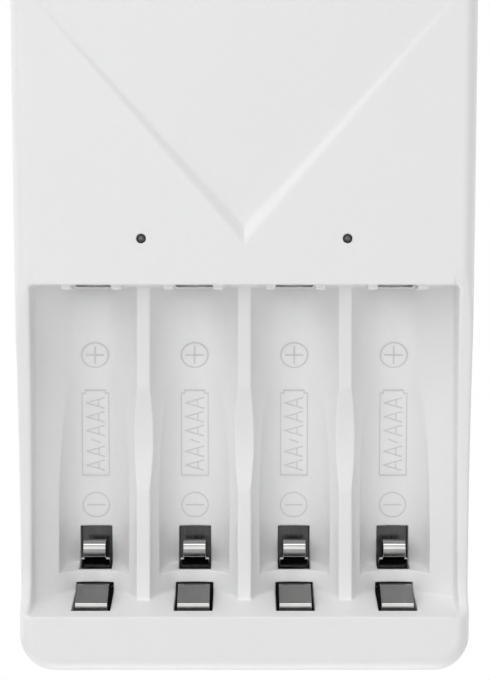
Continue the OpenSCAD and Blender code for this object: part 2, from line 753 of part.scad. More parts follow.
// Sprung negative contact for an AA cell: foot, nose, lead-in slope and fold in one strip
module aa_contact(i) color("silver") place() translate([slot_x[i - 1], 0, 0])
    along_x(aa_width) folded_strip(concat(foot_roll(aa_foot, 180),
        strip_bends([[aa_foot.x, aa_rise.y], aa_rise, aa_nose, aa_fold, aa_end],
                    [bend_radius, bend_radius, fold_radius])));

// Sprung negative contact for an AAA cell: wide leg, then a narrower tongue with a rolled hump
module aaa_contact(i) color("silver") place() translate([slot_x[i - 1], 0, 0]) {
    way = atan2(aaa_leg.y, aaa_leg.x);
    along_x(aaa_width) folded_strip(concat(foot_roll(aaa_foot, way), [[aaa_knee - aaa_leg, way]]));
    along_x(aaa_tongue) folded_strip(concat([[aaa_start + aaa_leg, way]], strip_bends(
        [aaa_start, aaa_knee, [aaa_crest, aaa_low], [aaa_crest, aaa_face],
         [aaa_crest + aaa_tail, aaa_face]],
        [fold_radius, aaa_hump_radius, aaa_hump_radius])));
}

// Fixed plate behind an AAA window, with a narrow tail to the board
module aaa_anchor(i) color("silver") place() translate([slot_x[i - 1], anchor_depth, 0]) {
    width = aaa_window - 2 * fit;
    low = aaa_foot.y + foot_radius + strip / 2 + anchor_rise;
    top = aaa_edge + anchor_cover;
    translate([-width / 2, 0, low]) cube([width, strip, top - low]);
    translate([-anchor_tail / 2, 0, top - strip]) cube([anchor_tail, board_depth - anchor_depth, strip]);
}

// Fixed positive contact in the bay's top wall, with a narrow tail to the board
module positive_contact(i) color("silver") place() translate([slot_x[i - 1], 0, bay_top + plus_sink]) {
    tail = shell_back - plus_tail_length;
    translate([-plus_width / 2, tab_depth, 0]) cube([plus_width, tail - tab_depth, plus_thickness]);
    translate([-plus_tail / 2, tail, 0]) cube([plus_tail, board_depth - tail, plus_thickness]);
}

front_housing();
rear_cover();
plug_insert();
circuit_board();
cover_screws();
transformer_bobbin();
transformer_winding();
transformer_core();
mains_capacitor();
output_capacitor();
safety_capacitor();
input_choke();
bridge_rectifier();
switching_ic();
charge_controller_ic();
fuse_resistor();
for (side = [-1, 1]) {
    name = side < 0 ? "left" : "right";
    mains_pin(side);
    pin_sleeve(side);
    mains_lead(side);
    status_led(side);
    light_guide(side);
}
for (i = [1:4]) {
    aa_contact(i);
    aaa_contact(i);
    aaa_anchor(i);
    positive_contact(i);
}
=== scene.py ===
"""Looks of a plug-in charger for AA and AAA cells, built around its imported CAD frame.

Sizes in the classes are millimetres. Depth runs back from the front face and height runs up from the
bottom edge, as on the drawing of the housing. `Datum` turns such points into the frame's metres.
"""

import cmath
import logging
import math
from dataclasses import dataclass, field
from enum import Enum
from functools import reduce

import bmesh
import bpy
import numpy as np
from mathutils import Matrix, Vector


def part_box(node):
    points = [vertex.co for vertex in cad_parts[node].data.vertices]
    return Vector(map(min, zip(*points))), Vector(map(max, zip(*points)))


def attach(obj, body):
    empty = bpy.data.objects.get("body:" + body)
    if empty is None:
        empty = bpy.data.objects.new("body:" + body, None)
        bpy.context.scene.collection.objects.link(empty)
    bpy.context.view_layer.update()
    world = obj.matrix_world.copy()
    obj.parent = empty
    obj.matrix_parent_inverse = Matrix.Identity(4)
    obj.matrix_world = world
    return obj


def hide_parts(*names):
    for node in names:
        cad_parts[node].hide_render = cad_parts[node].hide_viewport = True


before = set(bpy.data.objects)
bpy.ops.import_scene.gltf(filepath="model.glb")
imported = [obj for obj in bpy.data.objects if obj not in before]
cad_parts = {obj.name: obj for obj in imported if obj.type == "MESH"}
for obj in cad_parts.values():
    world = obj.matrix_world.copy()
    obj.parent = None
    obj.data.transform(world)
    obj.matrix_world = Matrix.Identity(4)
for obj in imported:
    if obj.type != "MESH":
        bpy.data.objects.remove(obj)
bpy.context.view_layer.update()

MM = 0.001
BODY = "charger"
LOG = logging.getLogger("charger")
# Cell slots, counted from the left.
SLOTS = range(1, 5)
# Range that a noise texture mostly stays in.
NOISE_SPAN = (0.3, 0.7)
# Grid steps left free before and after a moulding, chosen so that no plane lies on a flat face.
GRID_MARGIN = (2.3, 3)
# Steps that pull a thinned mesh back to the true surface, and the least squared slope they divide by.
PULL_STEPS = 2
LEAST_SLOPE = 0.3
# Distance in metres under which points are one, and the angle from which a fold stays sharp.
SAME_POINT = 1e-7
SHARP_FOLD = math.radians(30)
# Pieces in each bend of a strip, and points around its section.
BEND_STEPS = 12
STRIP_SIDES = 8
Array = np.ndarray
# Across, depth and height of drawing points, as arrays that fit together.
Spots = tuple[Array, Array, Array]
# Points of a moulded line, across and up.
Line = list[tuple[float, float]]
# Point of a strip's middle line, with depth and height as a complex number, and its direction there.
Place = tuple[complex, float]


def linear(colour: str) -> tuple[float, float, float, float]:
    """Turn an sRGB hex colour into linear light.

    Args:
        colour: Six hex digits after a hash sign.

    Returns:
        Red, green, blue and an alpha of one.
    """
    parts = [int(colour[i:i + 2], 16) / 255 for i in (1, 3, 5)]
    red, green, blue = [p / 12.92 if p <= 0.04045 else ((p + 0.055) / 1.055) ** 2.4 for p in parts]
    return red, green, blue, 1.0


def add_node(tree: bpy.types.NodeTree, kind: str, inputs: dict | None = None, **settings) -> bpy.types.Node:
    """Add a node with its settings and links.

    Args:
        tree: Node tree that takes the node.
        kind: Node type, such as "ShaderNodeTexNoise".
        inputs: Input name or number to a plain value, or to the output socket that feeds it.
        **settings: Properties of the node.

    Returns:
        The new node.
    """
    node = tree.nodes.new(kind)
    for name, value in settings.items():
        setattr(node, name, value)
    for key, value in (inputs or {}).items():
        if isinstance(value, bpy.types.NodeSocket):
            tree.links.new(value, node.inputs[key])
        else:
            node.inputs[key].default_value = value
    return node


def clear_tree(owner: bpy.types.Material | bpy.types.World) -> bpy.types.NodeTree:
    """Return the node tree of a material or world, emptied for its own nodes."""
    owner.use_nodes = True
    owner.node_tree.nodes.clear()
    return owner.node_tree


class Lay(Enum):
    """Direction that a surface's marks run in, as a stretch of its pattern along X, Y and Z."""

    EVEN = (1.0, 1.0, 1.0)
    ALONG_Z = (1.0, 1.0, 0.04)
    ACROSS = (0.04, 1.0, 1.0)
    AROUND_Y = (0.3, 1.0, 0.3)


@dataclass(frozen=True)
class Finish:
    """A material as its maker would name it, with how its surface was made.

    Attributes:
        name: Common name of the material.
        colour: Colour of most of the surface, as sRGB hex.
        shade: Colour that it drifts to in patches.
        patch_mm: Size of those patches.
        grain_mm: Size of the surface texture.
        grain_height_mm: Height of the surface texture.
        roughness: Lowest and highest roughness.
        lay: Direction of the texture.
        metallic: One for a metal.
        ior: Refractive index of a plastic or glass.
        subsurface: Share of light that scatters inside.
        transmission: Share of light that passes through.
    """

    name: str
    colour: str
    shade: str
    patch_mm: float = 9.0
    grain_mm: float = 0.3
    grain_height_mm: float = 0.01
    roughness: tuple[float, float] = (0.4, 0.5)
    lay: Lay = Lay.EVEN
    metallic: float = 0.0
    ior: float = 1.5
    subsurface: float = 0.0
    transmission: float = 0.0

    def material(self) -> bpy.types.Material:
        """Make the material on first use.

        Returns:
            The one material of this finish.
        """
        known = bpy.data.materials.get(self.name)
        if known:
            return known
        made = bpy.data.materials.new(self.name)
        tree = clear_tree(made)
        place = add_node(tree, "ShaderNodeTexCoord").outputs["Object"]
        laid = add_node(tree, "ShaderNodeMapping", {"Vector": place, "Scale": self.lay.value}).outputs[0]
        patches = add_node(tree, "ShaderNodeTexNoise", {
            "Vector": place, "Scale": 1 / (self.patch_mm * MM), "Detail": 3.0}).outputs["Fac"]
        grain = add_node(tree, "ShaderNodeTexNoise", {
            "Vector": laid, "Scale": 1 / (self.grain_mm * MM), "Detail": 2.0,
            "Roughness": 0.6}).outputs["Fac"]
        tint = add_node(tree, "ShaderNodeMix", {
            "Factor": patches, "A": linear(self.colour), "B": linear(self.shade)}, data_type="RGBA")
        gloss = add_node(tree, "ShaderNodeMapRange", {
            "Value": grain, "From Min": NOISE_SPAN[0], "From Max": NOISE_SPAN[1],
            "To Min": self.roughness[0], "To Max": self.roughness[1]}).outputs[0]
        relief = add_node(tree, "ShaderNodeBump", {
            "Height": grain, "Strength": 1.0, "Distance": self.grain_height_mm * MM}).outputs[0]
        surface = add_node(tree, "ShaderNodeBsdfPrincipled", {
            "Base Color": tint.outputs[2], "Roughness": gloss, "Normal": relief, "Metallic": self.metallic,
            "IOR": self.ior, "Subsurface Weight": self.subsurface, "Subsurface Scale": MM,
            "Transmission Weight": self.transmission})
        add_node(tree, "ShaderNodeOutputMaterial", {"Surface": surface.outputs[0]})
        return made


# White ABS from a spark-eroded mould: satin, with a fine even grain that softens every highlight.
WHITE_ABS = Finish("spark_eroded_white_abs", "#F6F6F6", "#F3F3F3", 24, 0.28, 0.005,
                   (0.30, 0.38), subsurface=0.04)
# The same ABS on the moulded lines, painted a little darker as the shade that falls in engraved lines.
PAINTED_SHADE_MARK_ABS = Finish("engraved_line_abs_painted_shade", "#DEDEDE", "#D8D8D8", 6, 0.2, 0.004, (0.35, 0.45))
# Bright nickel over rolled spring steel: mirror-like, with hair lines across the strip.
NICKEL_STRIP = Finish("nickel_plated_spring_steel", "#A6A6A5", "#949493", 3, 0.12, 0.0004,
                      (0.07, 0.16), Lay.ACROSS, 1.0)
# The same strip where the cells' ends rub it: finer scratches up the slope, and a greyer colour that is
# painted shade.
RUBBED_NICKEL_PAINTED_SHADE = Finish("rubbed_nickel_plate_painted_shade", "#8E8E8D", "#807F7F", 2, 0.1, 0.0004,
                     (0.10, 0.22), Lay.ALONG_Z, 1.0)
# Tinned steel plate, painted dark grey as the shade of the case that it sits in and mirrors; dull and a
# little cloudy.
TIN_PLATE_PAINTED_SHADE = Finish("tinned_steel_plate_painted_shade", "#505050", "#3C3C3C", 1.5, 0.12, 0.0006,
                   (0.16, 0.3), Lay.ALONG_Z, 1.0)
# Nickel over turned brass: bright, with faint turning rings.
NICKEL_PIN = Finish("nickel_plated_brass", "#C6C2B8", "#B5B0A4", 4, 0.15, 0.0008,
                    (0.16, 0.28), Lay.AROUND_Y, 1.0)
# Injection-moulded polyamide sleeve: near black, slightly waxy.
SLEEVE_PA = Finish("black_polyamide", "#1B1B1D", "#232325", 3, 0.2, 0.004, (0.35, 0.45))
# Zinc-plated screw steel: bluish grey and slightly dull.
ZINC_STEEL = Finish("zinc_plated_steel", "#A3A6A8", "#8E9194", 2, 0.15, 0.001,
                    (0.28, 0.42), Lay.AROUND_Y, 1.0)
# Smoky polycarbonate light guide: dark when its diode is off, with a small highlight.
SMOKY_PC = Finish("smoky_polycarbonate", "#565656", "#464646", 1, 0.2, 0.001, (0.2, 0.3), ior=1.58)
# The same guide at its rim, painted near black as the shade of the hole around it.
SMOKY_RIM_PAINTED_SHADE = Finish("smoky_polycarbonate_rim_painted_shade", "#1E1E1E", "#161616", 1, 0.2, 0.001, (0.2, 0.3), ior=1.58)
# Glass-epoxy board under dark green solder mask: semi-gloss, with a weave that prints through.
SOLDER_MASK = Finish("dark_solder_mask", "#1A2A20", "#16231B", 5, 0.5, 0.004, (0.3, 0.42))
# Glass-filled black moulding compound of bobbins and chips: matt and slightly grey.
BLACK_COMPOUND = Finish("black_moulding_compound", "#222222", "#2B2B2B", 3, 0.15, 0.006, (0.55, 0.7))
# Polyester winding tape: yellow, smooth and slightly uneven.
WINDING_TAPE = Finish("polyester_winding_tape", "#D6A62C", "#C89A26", 3, 1.0, 0.01, (0.25, 0.35))
# Pressed and fired ferrite: dark grey and stone-like.
FERRITE = Finish("fired_ferrite", "#3A3A3C", "#303032", 2, 0.12, 0.008, (0.6, 0.75))
# Shrunk PVC sleeve of a capacitor can: dark blue and glossy.
SHRUNK_PVC = Finish("shrunk_blue_pvc", "#1F2C55", "#1A2549", 4, 0.8, 0.006, (0.2, 0.3))
# Yellow polyester case of a safety capacitor: smooth satin.
YELLOW_CASE = Finish("yellow_polyester_case", "#D9B03A", "#CFA634", 4, 0.3, 0.004, (0.35, 0.45))
# Cement coat of a fuse resistor: pale and powdery.
CEMENT_COAT = Finish("cement_coat", "#C9B48E", "#BDA87F", 2, 0.15, 0.01, (0.7, 0.85))
# Tinned copper wire: bright with a soft sheen.
TINNED_COPPER = Finish("tinned_copper", "#C9C4BA", "#B8B2A6", 2, 0.2, 0.001, (0.25, 0.4), Lay.AROUND_Y, 1.0)
# Clear epoxy of an unlit diode: glossy and slightly green.
CLEAR_EPOXY = Finish("clear_epoxy", "#C4D2C4", "#B8C8B8", 2, 0.4, 0.001,
                     (0.08, 0.15), ior=1.54, transmission=0.6)


@dataclass(frozen=True)
class Datum:
    """Front face and bottom edge of the housing, which depths and heights are measured from.

    Attributes:
        front: Y of the front face, in metres.
        bottom: Z of the bottom edge, in metres.
    """

    front: float
    bottom: float

    @classmethod
    def of_housing(cls) -> "Datum":
        """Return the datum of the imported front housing."""
        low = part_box("front_housing")[0]
        return cls(low.y, low.z)

    def to_frame(self, points: Array) -> Array:
        """Turn drawing points into frame points.

        Args:
            points: Rows of across, depth and height, in millimetres.

        Returns:
            Rows of X, Y and Z, in metres.
        """
        return points * MM + np.array([0, self.front, self.bottom])

    def box(self, node: str) -> Array:
        """Return a node's lowest and highest corner as drawing points."""
        corners = np.array([list(corner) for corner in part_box(node)])
        return (corners - np.array([0, self.front, self.bottom])) / MM


def common(*fields: Array) -> Array:
    """Keep what several distance fields share, with sharp edges."""
    return reduce(np.maximum, fields)


def soft_union(one: Array, other: Array, reach: float) -> Array:
    """Join two distance fields and round the edge where they meet.

    Args:
        one: Signed distance, negative inside.
        other: Signed distance of the second form.
        reach: Width of the rounding, in millimetres.

    Returns:
        Signed distance of the joined form.
    """
    near = np.maximum(reach - np.abs(one - other), 0) / reach
    return np.minimum(one, other) - near * near * reach / 4


def soft_common(one: Array, other: Array, reach: float) -> Array:
    """Keep what two distance fields share, with the edge rounded as in `soft_union`."""
    return -soft_union(-one, -other, reach)


def round_common(one: Array, other: Array, radius: float) -> Array:
    """Keep what two square distance fields share, with an exact edge radius.

    Args:
        one: Signed distance to the first face.
        other: Signed distance to the second face.
        radius: Radius of the edge, in millimetres.

    Returns:
        Signed distance of the shared form.
    """
    outside = np.hypot(np.maximum(one + radius, 0), np.maximum(other + radius, 0))
    return outside + np.minimum(np.maximum(one, other) + radius, 0) - radius


def surface_net(values: Array, axes: list[Array]) -> tuple[Array, Array]:
    """Mesh the zero level of a distance field with one point per crossed cell.

    Args:
        values: Signed distances on a grid.
        axes: Coordinates of the grid's planes along each axis.

    Returns:
        Points, and quads of point numbers that face outwards.
    """
    origin = np.array([a[0] for a in axes])
    step = np.array([a[1] - a[0] for a in axes])
    quads, spots = [], []
    for axis in range(3):
        low = [slice(None)] * 3
        high = [slice(None)] * 3
        low[axis], high[axis] = slice(0, -1), slice(1, None)
        first = np.argwhere((values[tuple(low)] < 0) != (values[tuple(high)] < 0))
        second = first.copy()
        second[:, axis] += 1
        start, end = values[tuple(first.T)], values[tuple(second.T)]
        spot = first.astype(np.float64)
        spot[:, axis] += start / (start - end)
        cells = []
        for across, along in ((0, 0), (-1, 0), (-1, -1), (0, -1)):
            cell = first.copy()
            cell[:, (axis + 1) % 3] += across
            cell[:, (axis + 2) % 3] += along
            cells.append(np.ravel_multi_index(tuple(cell.T), values.shape))
        quad = np.stack(cells, axis=1)
        quads.append(np.where((start < 0)[:, None], quad, quad[:, ::-1]))
        spots.append(np.repeat(spot, 4, axis=0))
    faces = np.unique(np.concatenate(quads), return_inverse=True)[1].reshape(-1, 4)
    places, index = np.concatenate(spots), faces.ravel()
    sums = np.stack([np.bincount(index, places[:, k]) for k in range(3)], axis=1)
    return origin + sums / np.bincount(index)[:, None] * step, faces


def new_piece(name: str, points: Array, faces: list[list[int]], finish: Finish) -> bpy.types.Object:
    """Make a mesh object from frame points.

    Args:
        name: Name of the piece.
        points: Rows of X, Y and Z.
        faces: Point numbers of each face.
        finish: Finish of the whole piece.

    Returns:
        The object, linked to the scene and shaded smooth.
    """
    mesh = bpy.data.meshes.new(name)
    mesh.from_pydata(points.tolist(), [], faces)
    mesh.shade_smooth()
    mesh.materials.append(finish.material())
    piece = bpy.data.objects.new(name, mesh)
    bpy.context.scene.collection.objects.link(piece)
    return piece


def face_outwards(piece: bpy.types.Object) -> None:
    """Join a piece's double points, turn its faces outwards and keep its folds sharp."""
    mesh = bmesh.new()
    mesh.from_mesh(piece.data)
    bmesh.ops.remove_doubles(mesh, verts=mesh.verts, dist=SAME_POINT)
    bmesh.ops.recalc_face_normals(mesh, faces=mesh.faces)
    mesh.to_mesh(piece.data)
    mesh.free()
    piece.data.set_sharp_from_angle(angle=SHARP_FOLD)


def loft(rings: int, sides: int, closed: bool = False) -> list[list[int]]:
    """List the quads between rings of points that follow each other.

    Args:
        rings: Number of rings.
        sides: Points in each ring.
        closed: Whether the last ring meets the first.

    Returns:
        Point numbers of each quad.
    """
    starts = [(sides * i, sides * ((i + 1) % rings)) for i in range(rings if closed else rings - 1)]
    return [[one + k, one + (k + 1) % sides, two + (k + 1) % sides, two + k]
            for one, two in starts for k in range(sides)]


@dataclass
class Moulding:
    """A plastic moulding given by its signed distance, with every edge rounded as in the mould.

    Attributes:
        datum: Datum of the drawing.
        node: CAD node that the moulding stands for.
        voxel: Spacing of the grid that it is meshed on.
        triangles: Most triangles in the mesh.
    """

    datum: Datum
    node: str = ""
    voxel: float = 0.2
    triangles: int = 190_000

    def distance(self, at: Spots) -> Array:
        """Return the signed distance at drawing points, negative inside the plastic."""
        raise NotImplementedError

    def gradient(self, points: Array) -> Array:
        """Measure the slope of the distance.

        Args:
            points: Rows of across, depth and height.

        Returns:
            Rows of the slope along each of them.
        """
        reach = self.voxel / 2
        slopes = []
        for axis in range(3):
            shift = np.zeros(3)
            shift[axis] = reach
            slopes.append(self.distance(tuple((points + shift).T)) - self.distance(tuple((points - shift).T)))
        return np.stack(slopes, axis=1) / (2 * reach)

    def grid(self) -> list[Array]:
        """Lay a grid over the right half of the node's box.

        Returns:
            Planes across, in depth and in height. The left half mirrors them.
        """
        step = self.voxel * 1
        low, high = self.datum.box(self.node)
        before, after = GRID_MARGIN
        half = (np.arange(int(high[0] / step) + after) + 0.5) * step
        rest = [np.arange(low[k] - before * step, high[k] + after * step, step) for k in (1, 2)]
        return [planes.astype(np.float32) for planes in (half, *rest)]

    def build(self) -> bpy.types.Object:
        """Mesh the moulding, thin the mesh, set its points on the true surface and dress it.

        Returns:
            The piece, in place of its CAD node.
        """
        half, depth, height = self.grid()
        values = self.distance((half[:, None, None], depth[None, :, None], height[None, None, :]))
        axes = [np.concatenate([-half[::-1], half]), depth, height]
        points, faces = surface_net(np.concatenate([values[::-1], values]), axes)
        piece = new_piece("moulded_" + self.node, points, faces.tolist(), WHITE_ABS)
        thin = piece.modifiers.new("thin", "DECIMATE")
        thin.ratio = min(1.0, self.triangles / (2 * len(faces)))
        thinned = bpy.data.meshes.new_from_object(piece.evaluated_get(bpy.context.evaluated_depsgraph_get()))
        piece.modifiers.clear()
        piece.data = thinned
        points = np.empty(len(thinned.vertices) * 3)
        thinned.vertices.foreach_get("co", points)
        points = points.reshape(-1, 3)
        for _ in range(PULL_STEPS):
            slope = self.gradient(points)
            size = np.maximum((slope ** 2).sum(axis=1), LEAST_SLOPE)
            points = points - (self.distance(tuple(points.T)) / size)[:, None] * slope
        normals = self.gradient(points)
        normals /= np.linalg.norm(normals, axis=1, keepdims=True)
        thinned.vertices.foreach_set("co", self.datum.to_frame(points).ravel())
        thinned.shade_smooth()
        thinned.normals_split_custom_set_from_vertices(normals.tolist())
        thinned.update()
        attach(piece, BODY)
        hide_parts(self.node)
        return piece


@dataclass
class BodyOutline:
    """Front outline of the case: a slim trapezium with round corners.

    Attributes:
        length: Height of the case.
        width_top: Width at the top edge.
        width_bottom: Width at the bottom edge.
        corner: Radius of the corners.
        screw_inset: Distance of the cover's screws from the side.
        screw_low: Height of the lower screws.
    """

    length: float = 116.0
    width_top: float = 76.8
    width_bottom: float = 73.2
    corner: float = 5.8
    screw_inset: float = 5.2
    screw_low: float = 5.0

    def slope(self) -> float:
        """Return how far each side leans out per height."""
        return (self.width_top - self.width_bottom) / 2 / self.length

    def screw_reach(self, x: Array, height: Array) -> Array:
        """Return the distance from the axis of the nearest of the four screws."""
        low, high = (np.hypot(np.abs(x) - self.width_bottom / 2 - self.slope() * level + self.screw_inset,
                              height - level) for level in (self.screw_low, self.length - self.corner))
        return np.minimum(low, high)

    def distance(self, x: Array, height: Array) -> Array:
        """Measure the distance to the outline.

        Args:
            x: Distance across.
            height: Height above the bottom edge.

        Returns:
            Signed distance, negative inside.
        """
        slope = self.slope()
        side = (np.abs(x) - self.width_bottom / 2 - slope * height) / math.hypot(1, slope)
        end = np.abs(height - self.length / 2) - self.length / 2
        return round_common(side, end, self.corner)


@dataclass
class CaseHalf(Moulding):
    """One half of the case, with what both halves share: outline, seam, wall and screw posts."""

    outline: BodyOutline = field(default_factory=BodyOutline)
    seam: float = 20.0
    seam_edge: float = 0.35
    wall: float = 1.8
    post_radius: float = 3.0


@dataclass
class FrontHousing(CaseHalf):
    """Front housing with the battery bay, its windows and tabs, and the shallow recess above."""

    node: str = "front_housing"
    # Shell
    front_edge: float = 2.4
    front_wall: float = 2.9
    floor_wall: float = 1.5
    # Bay with its troughs, ribs and leaning end walls
    lip: float = 9.0
    bay_top: float = 63.0
    bay_half: float = 35.0
    bay_corner: float = 0.7
    rim_edge: float = 0.2
    pitch: float = 16.8
    trough_radius: float = 7.78
    trough_axis: float = 5.2
    rib_depth: float = 7.84
    rib_edge: float = 0.25
    flank_angle: float = 33.0
    lean: float = 12.4
    foot_fillet: float = 0.45
    # Finger scoop across the ribs
    scoop_height: float = 37.6
    scoop_length: float = 16.8
    scoop_depth: float = 1.14
    scoop_half: float = 21.0
    scoop_edge: float = 0.12
    # Dipped front edges of the side walls
    dip_depth: float = 4.55
    dip_level: float = 25.0
    dip_start: float = 63.8
    dip_radius: float = 7.0
    dip_overlap: float = 0.5
    dip_edge: float = 0.6
    # Sloping grooves of the AAA cells
    groove_radius: float = 5.86
    groove_angle: float = 6.93
    groove_depth: float = 12.9
    groove_height: float = 51.5
    groove_step: float = 3.4
    groove_edge: float = 0.12
    # Triangular recess
    recess_point: float = 69.9
    recess_valley: float = 2.6
    recess_rise: float = 41.0
    recess_angle: float = 40.7
    recess_depth: float = 1.3
    recess_edge: float = 0.3
    # Holes of the light guides
    light_height: float = 70.5
    light_hole: float = 0.775
    hole_overrun: float = 1.0
    hole_edge: float = 0.1
    # Windows of the sprung contacts
    aa_half: float = 3.15
    aa_depth: float = 2.9
    aa_edge: float = 13.15
    aaa_half: float = 2.7
    aaa_depth: float = 13.4
    aaa_low: float = 12.7
    aaa_edge: float = 22.36
    window_edge: float = 0.2
    # Pockets and slits of the positive contacts
    plus_half: float = 3.1
    plus_depth: float = 2.7
    plus_rise: float = 0.8
    plus_sink: float = 0.3
    # Polarity tabs
    tab_offset: float = 4.1
    tab_half: float = 0.83
    tab_depth: float = 2.9
    tab_length: float = 7.0
    tab_proud: float = 0.66
    tab_edge: float = 0.2
    # Posts and pilot holes of the screws
    post_back: float = 19.4
    pilot_radius: float = 1.15
    pilot_front: float = 8.8

    def slot_middle(self, number: int) -> float:
        """Return the place across of a slot's middle."""
        return (number - sum(SLOTS) / len(SLOTS)) * self.pitch

    def slot_offset(self, x: Array) -> Array:
        """Return the distance across from the nearest slot's middle."""
        return np.abs(np.abs(np.abs(x) - self.pitch) - self.pitch / 2)

    def groove_axis(self, height: Array) -> Array:
        """Return the depth of an AAA groove's axis at a height."""
        slope = math.radians(self.groove_angle)
        return (self.groove_depth - self.groove_radius / math.cos(slope)
                + (self.groove_height - height) * math.tan(slope))

    def groove_floor(self, offset: Array, height: Array) -> Array:
        """Return the depth of the AAA groove's floor beside its middle line."""
        drop = np.sqrt(self.groove_radius ** 2 - offset ** 2) / math.cos(math.radians(self.groove_angle))
        return self.groove_axis(height) + drop

    def end_height(self, depth: Array | float, step: float = 0.0) -> Array | float:
        """Return the height of a leaning end wall at a depth."""
        return self.lip + step + depth * math.tan(math.radians(self.lean))

    def end_wall(self, depth: Array, height: Array, step: float = 0.0) -> Array:
        """Return the distance below a leaning end wall, negative above it."""
        return (self.end_height(depth, step) - height) * math.cos(math.radians(self.lean))

    def bay(self, at: Spots) -> Array:
        """Measure the distance to the open space of the bay.

        Args:
            at: Drawing points.

        Returns:
            Signed distance, negative in it.
        """
        x, depth, height = at
        side, offset = np.abs(x), self.slot_offset(x)
        trough = np.hypot(offset, depth - self.trough_axis) - self.trough_radius
        space = soft_union(depth - self.rib_depth, trough, self.rib_edge)
        angle = math.radians(self.flank_angle)
        touch = self.slot_middle(SLOTS[-1]) + self.trough_radius * math.sin(angle)
        foot = self.trough_axis + self.trough_radius * math.cos(angle)
        flank = (depth - foot) * math.cos(angle) + (side - touch) * math.sin(angle)
        space = np.minimum(space, np.maximum(flank, touch - side))
        radius = ((self.scoop_length / 2) ** 2 + self.scoop_depth ** 2) / (2 * self.scoop_depth)
        below = depth - self.rib_depth - self.scoop_depth + radius
        scoop = np.hypot(below, height - self.scoop_height) - radius
        space = soft_union(space, np.maximum(scoop, side - self.scoop_half), self.scoop_edge)
        opening = round_common(side - self.bay_half, height - self.bay_top, self.bay_corner)
        space = soft_common(space, opening, self.foot_fillet)
        space = soft_common(space, self.end_wall(depth, height), self.foot_fillet)
        slope = math.cos(math.radians(self.groove_angle))
        groove = np.hypot(offset, (depth - self.groove_axis(height)) * slope) - self.groove_radius
        groove = soft_common(groove, self.end_wall(depth, height, self.groove_step), self.foot_fillet)
        groove = soft_common(groove, height - self.bay_top, self.foot_fillet)
        return soft_union(space, groove, self.groove_edge)

    def dip(self, at: Spots) -> Array:
        """Measure the distance to the cut that lowers the side walls' front edges.

        Args:
            at: Drawing points.

        Returns:
            Signed distance, negative in the cut.
        """
        x, depth, height = at
        run = self.dip_start - self.dip_level
        arc = (run ** 2 + self.dip_depth ** 2) / (2 * self.dip_depth)
        foot = self.lip + math.sqrt(self.dip_radius ** 2 - (self.dip_radius - self.dip_depth) ** 2)
        upper = np.hypot(depth - self.dip_depth + arc, height - self.dip_level) - arc
        lower = np.hypot(depth - self.dip_depth + self.dip_radius, height - foot) - self.dip_radius
        straight = np.where(height < foot, lower, depth - self.dip_depth)
        curve = np.where(height > self.dip_level, upper, straight)
        return np.maximum(curve, self.bay_half - self.dip_overlap - np.abs(x))

    def recess(self, at: Spots) -> Array:
        """Measure the distance to the triangular recess, deepest near its lower point.

        Args:
            at: Drawing points.

        Returns:
            Signed distance, negative in it.
        """
        x, depth, height = at
        point = np.array([0.0, 0.0, self.recess_point])
        valley = np.array([0.0, self.recess_depth, self.recess_point + self.recess_valley])
        reach = self.recess_rise * math.tan(math.radians(self.recess_angle))
        corner = np.array([reach, 0.0, self.recess_point + self.recess_rise])
        wall = np.cross(corner - point, valley - point)
        wall *= np.sign(wall[0]) / np.linalg.norm(wall)
        across, back, up = wall
        side = np.abs(x) * across + depth * back + (height - self.recess_point) * up
        fall = self.recess_depth / (corner[2] - valley[2])
        floor = (depth - (corner[2] - height) * fall) / math.hypot(1, fall)
        return soft_common(floor, side, self.recess_edge)

    def windows(self, at: Spots) -> Array:
        """Measure the distance to the windows of the sprung contacts.

        Args:
            at: Drawing points.

        Returns:
            Signed distance, negative in them.
        """
        x, depth, height = at
        offset = self.slot_offset(x)
        aa = common(offset - self.aa_half, self.aa_depth - depth, height - self.aa_edge, self.wall - height)
        aaa = common(offset - self.aaa_half, self.aaa_depth - depth,
                     height - self.aaa_edge, self.aaa_low - height)
        return np.minimum(aa, aaa)

    def plus_slots(self, at: Spots) -> Array:
        """Measure the distance to the positive contacts' pockets and the slits behind them.

        Args:
            at: Drawing points.

        Returns:
            Signed distance, negative in them.
        """
        x, depth, height = at
        above = height - self.bay_top
        pocket = np.maximum(-above, depth - self.trough_axis - self.trough_radius)
        lower = np.minimum(pocket, self.plus_sink - above)
        return common(self.slot_offset(x) - self.plus_half, self.plus_depth - depth,
                      above - self.plus_rise, lower)

    def tabs(self, at: Spots) -> Array:
        """Measure the distance to the polarity tabs under the bay's top wall.

        Args:
            at: Drawing points.

        Returns:
            Signed distance, negative inside them.
        """
        x, depth, height = at
        across = np.abs(self.slot_offset(x) - self.tab_offset) - self.tab_half
        along = np.abs(depth - self.tab_depth - self.tab_length / 2) - self.tab_length / 2
        up = np.abs(height - self.bay_top) - self.tab_proud
        return round_common(round_common(across, along, self.tab_edge), up, self.tab_edge)

    def posts(self, at: Spots) -> Array:
        """Measure the distance to the inner posts that take the cover's screws.

        Args:
            at: Drawing points.

        Returns:
            Signed distance, negative inside them.
        """
        x, depth, height = at
        reach = self.outline.screw_reach(x, height)
        post = common(reach - self.post_radius, depth - self.post_back, self.front_wall / 2 - depth)
        return np.maximum(post, np.minimum(self.pilot_radius - reach, depth - self.pilot_front))

